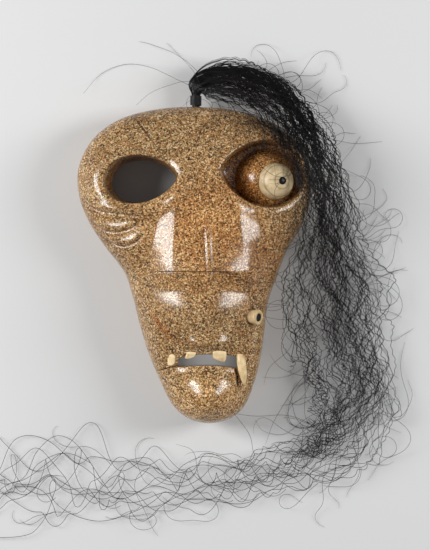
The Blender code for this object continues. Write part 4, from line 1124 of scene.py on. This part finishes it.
# Single hairs that stand clear of the tuft: over the forehead, out to the side, on the cheek and by the chin
LOOSE_HAIRS = (
    ((0.005, 0.554), (-0.075, 0.585), (-0.194, 0.630), (-0.299, 0.642), (-0.405, 0.611), (-0.481, 0.547)),
    ((0.018, 0.570), (-0.010, 0.615), (-0.045, 0.649), (-0.130, 0.715)),
    ((0.039, 0.590), (-0.067, 0.664), (-0.194, 0.706), (-0.299, 0.722)),
    ((0.030, 0.560), (-0.040, 0.580), (-0.110, 0.570), (-0.190, 0.545), (-0.250, 0.505)),
    ((0.560, 0.400), (0.620, 0.393), (0.695, 0.389), (0.796, 0.395)),
    ((0.590, 0.290), (0.615, 0.322), (0.661, 0.364), (0.703, 0.411)),
    ((0.600, 0.130), (0.690, 0.150), (0.770, 0.175), (0.815, 0.210), (0.800, 0.245)),
    ((0.560, 0.020), (0.510, -0.030), (0.441, -0.063), (0.386, -0.111), (0.407, -0.174), (0.483, -0.206)),
    ((0.640, -0.215), (0.589, -0.253), (0.517, -0.285), (0.441, -0.339), (0.356, -0.358), (0.280, -0.354)),
    ((0.600, -0.440), (0.500, -0.420), (0.420, -0.440), (0.390, -0.490), (0.440, -0.520), (0.520, -0.510)),
    ((0.620, -0.500), (0.540, -0.470), (0.470, -0.490), (0.380, -0.540), (0.290, -0.530), (0.250, -0.490)),
)
for stops in LOOSE_HAIRS:
    x, y = curve_through([at(*stop) for stop in stops], 14).T
    lift = HAIR_CLEARANCE + 0.012 * (1 - smooth(np.linspace(0, 1, len(x)), 0, 0.6))
    places = kept_in(np.column_stack([x, y, lying_height(x, y, 0.5) + lift]))
    routes.append([places, np.linspace(0.00020, 0.00010, len(places)), 0.4])

LOCKS = 4
locks = [tubes(f"horsehair_{i + 1}", routes[i::LOCKS], 3) for i in range(LOCKS)]


def horsehair():
    """Black hair, some of it a little browner, with a soft shine along it."""
    finish, shader, node, connect, ramp = new_finish("horsehair")
    tone = node("Attribute", attribute_name="tone").outputs["Fac"]
    colour = ramp(tone, (
        (0.0, (0.003, 0.003, 0.004)), (0.75, (0.008, 0.007, 0.008)), (1.0, (0.028, 0.022, 0.019))))
    gloss = node("MapRange", {0: tone, 3: 0.30, 4: 0.48})
    connect(shader, {"Base Color": colour, "Roughness": gloss.outputs[0], "IOR": 1.35})
    return finish


black_hair = horsehair()
for lock in locks:
    give(lock, black_hair)
    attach(lock, "root")
    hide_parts("hair_tuft")


# The studio. A sheet of pale paper lies under the mask, a long soft lamp stands on either side of it, and
# weak light comes from all round. The camera looks straight down and sees what the photo shows.
PIXEL = 0.000791
CAMERA_HEIGHT, FRAME_LEVEL, SENSOR = 2.4, 0.026, 36
LAMP_ANGLE, LAMP_DISTANCE = 57, 1.5
SKY_COLOUR, SKY_STRENGTH = (0.85, 0.87, 0.90, 1), 0.28
scene = bpy.context.scene
bpy.ops.mesh.primitive_plane_add(size=6, location=(0, 0, -0.0002))
paper = bpy.context.active_object
paper.name = paper.data.name = "paper"
paper_finish, shader, _, connect, _ = new_finish("pale_paper")
connect(shader, {"Base Color": (0.70, 0.698, 0.695, 1), "Roughness": 0.9})
give(paper, paper_finish)


def lamp(name, angle, turn, distance, size, power):
    """A soft lamp that faces the mask, an angle away from upright, at a turn round it."""
    data = bpy.data.lights.new(name, "AREA")
    data.shape = "RECTANGLE"
    data.size, data.size_y = size
    data.energy = power
    made = bpy.data.objects.new(name, data)
    scene.collection.objects.link(made)
    lean = math.radians(angle)
    way = Matrix.Rotation(math.radians(turn), 3, "Z") @ Vector((math.sin(lean), 0, math.cos(lean)))
    middle = Vector((*at(0.03, 0.05), 0.03))
    made.location = middle + way * distance
    made.rotation_euler = (-way).to_track_quat("-Z", "Y").to_euler()
    return made


lamp("left_lamp", LAMP_ANGLE, 170, LAMP_DISTANCE, size=(0.50, 0.9), power=21)
lamp("right_lamp", LAMP_ANGLE, 10, LAMP_DISTANCE, size=(0.45, 0.9), power=14)
# Light gets behind the mask in the photo and shows in the mouth, so a small lamp lights the paper there
behind = lamp("lamp_behind_the_mouth", 0, 0, 0.1, size=(0.030, 0.008), power=0.002)
behind.location = (*MOUTH_MIDDLE, 0.020)
behind.rotation_euler = (0, 0, 0)
world = bpy.data.worlds.new("studio")
scene.world = world
world.use_nodes = True
sky = world.node_tree.nodes["Background"]
sky.inputs[0].default_value = SKY_COLOUR
sky.inputs[1].default_value = SKY_STRENGTH

camera_data = bpy.data.cameras.new("camera")
camera = bpy.data.objects.new("camera", camera_data)
scene.collection.objects.link(camera)
scene.camera = camera
MASK_MIDDLE_PIXEL, FRAME_PIXELS = (195.75, 265), (430, 550)
frame_middle = MIDDLE + ((FRAME_PIXELS[0] / 2 - MASK_MIDDLE_PIXEL[0]) * PIXEL,
                         (MASK_MIDDLE_PIXEL[1] - FRAME_PIXELS[1] / 2) * PIXEL)
camera.location = (*frame_middle, CAMERA_HEIGHT)
camera_data.sensor_width = SENSOR
camera_data.lens = SENSOR * (CAMERA_HEIGHT - FRAME_LEVEL) / (FRAME_PIXELS[1] * PIXEL)
camera_data.clip_end = 10
scene.view_settings.view_transform = "Standard"
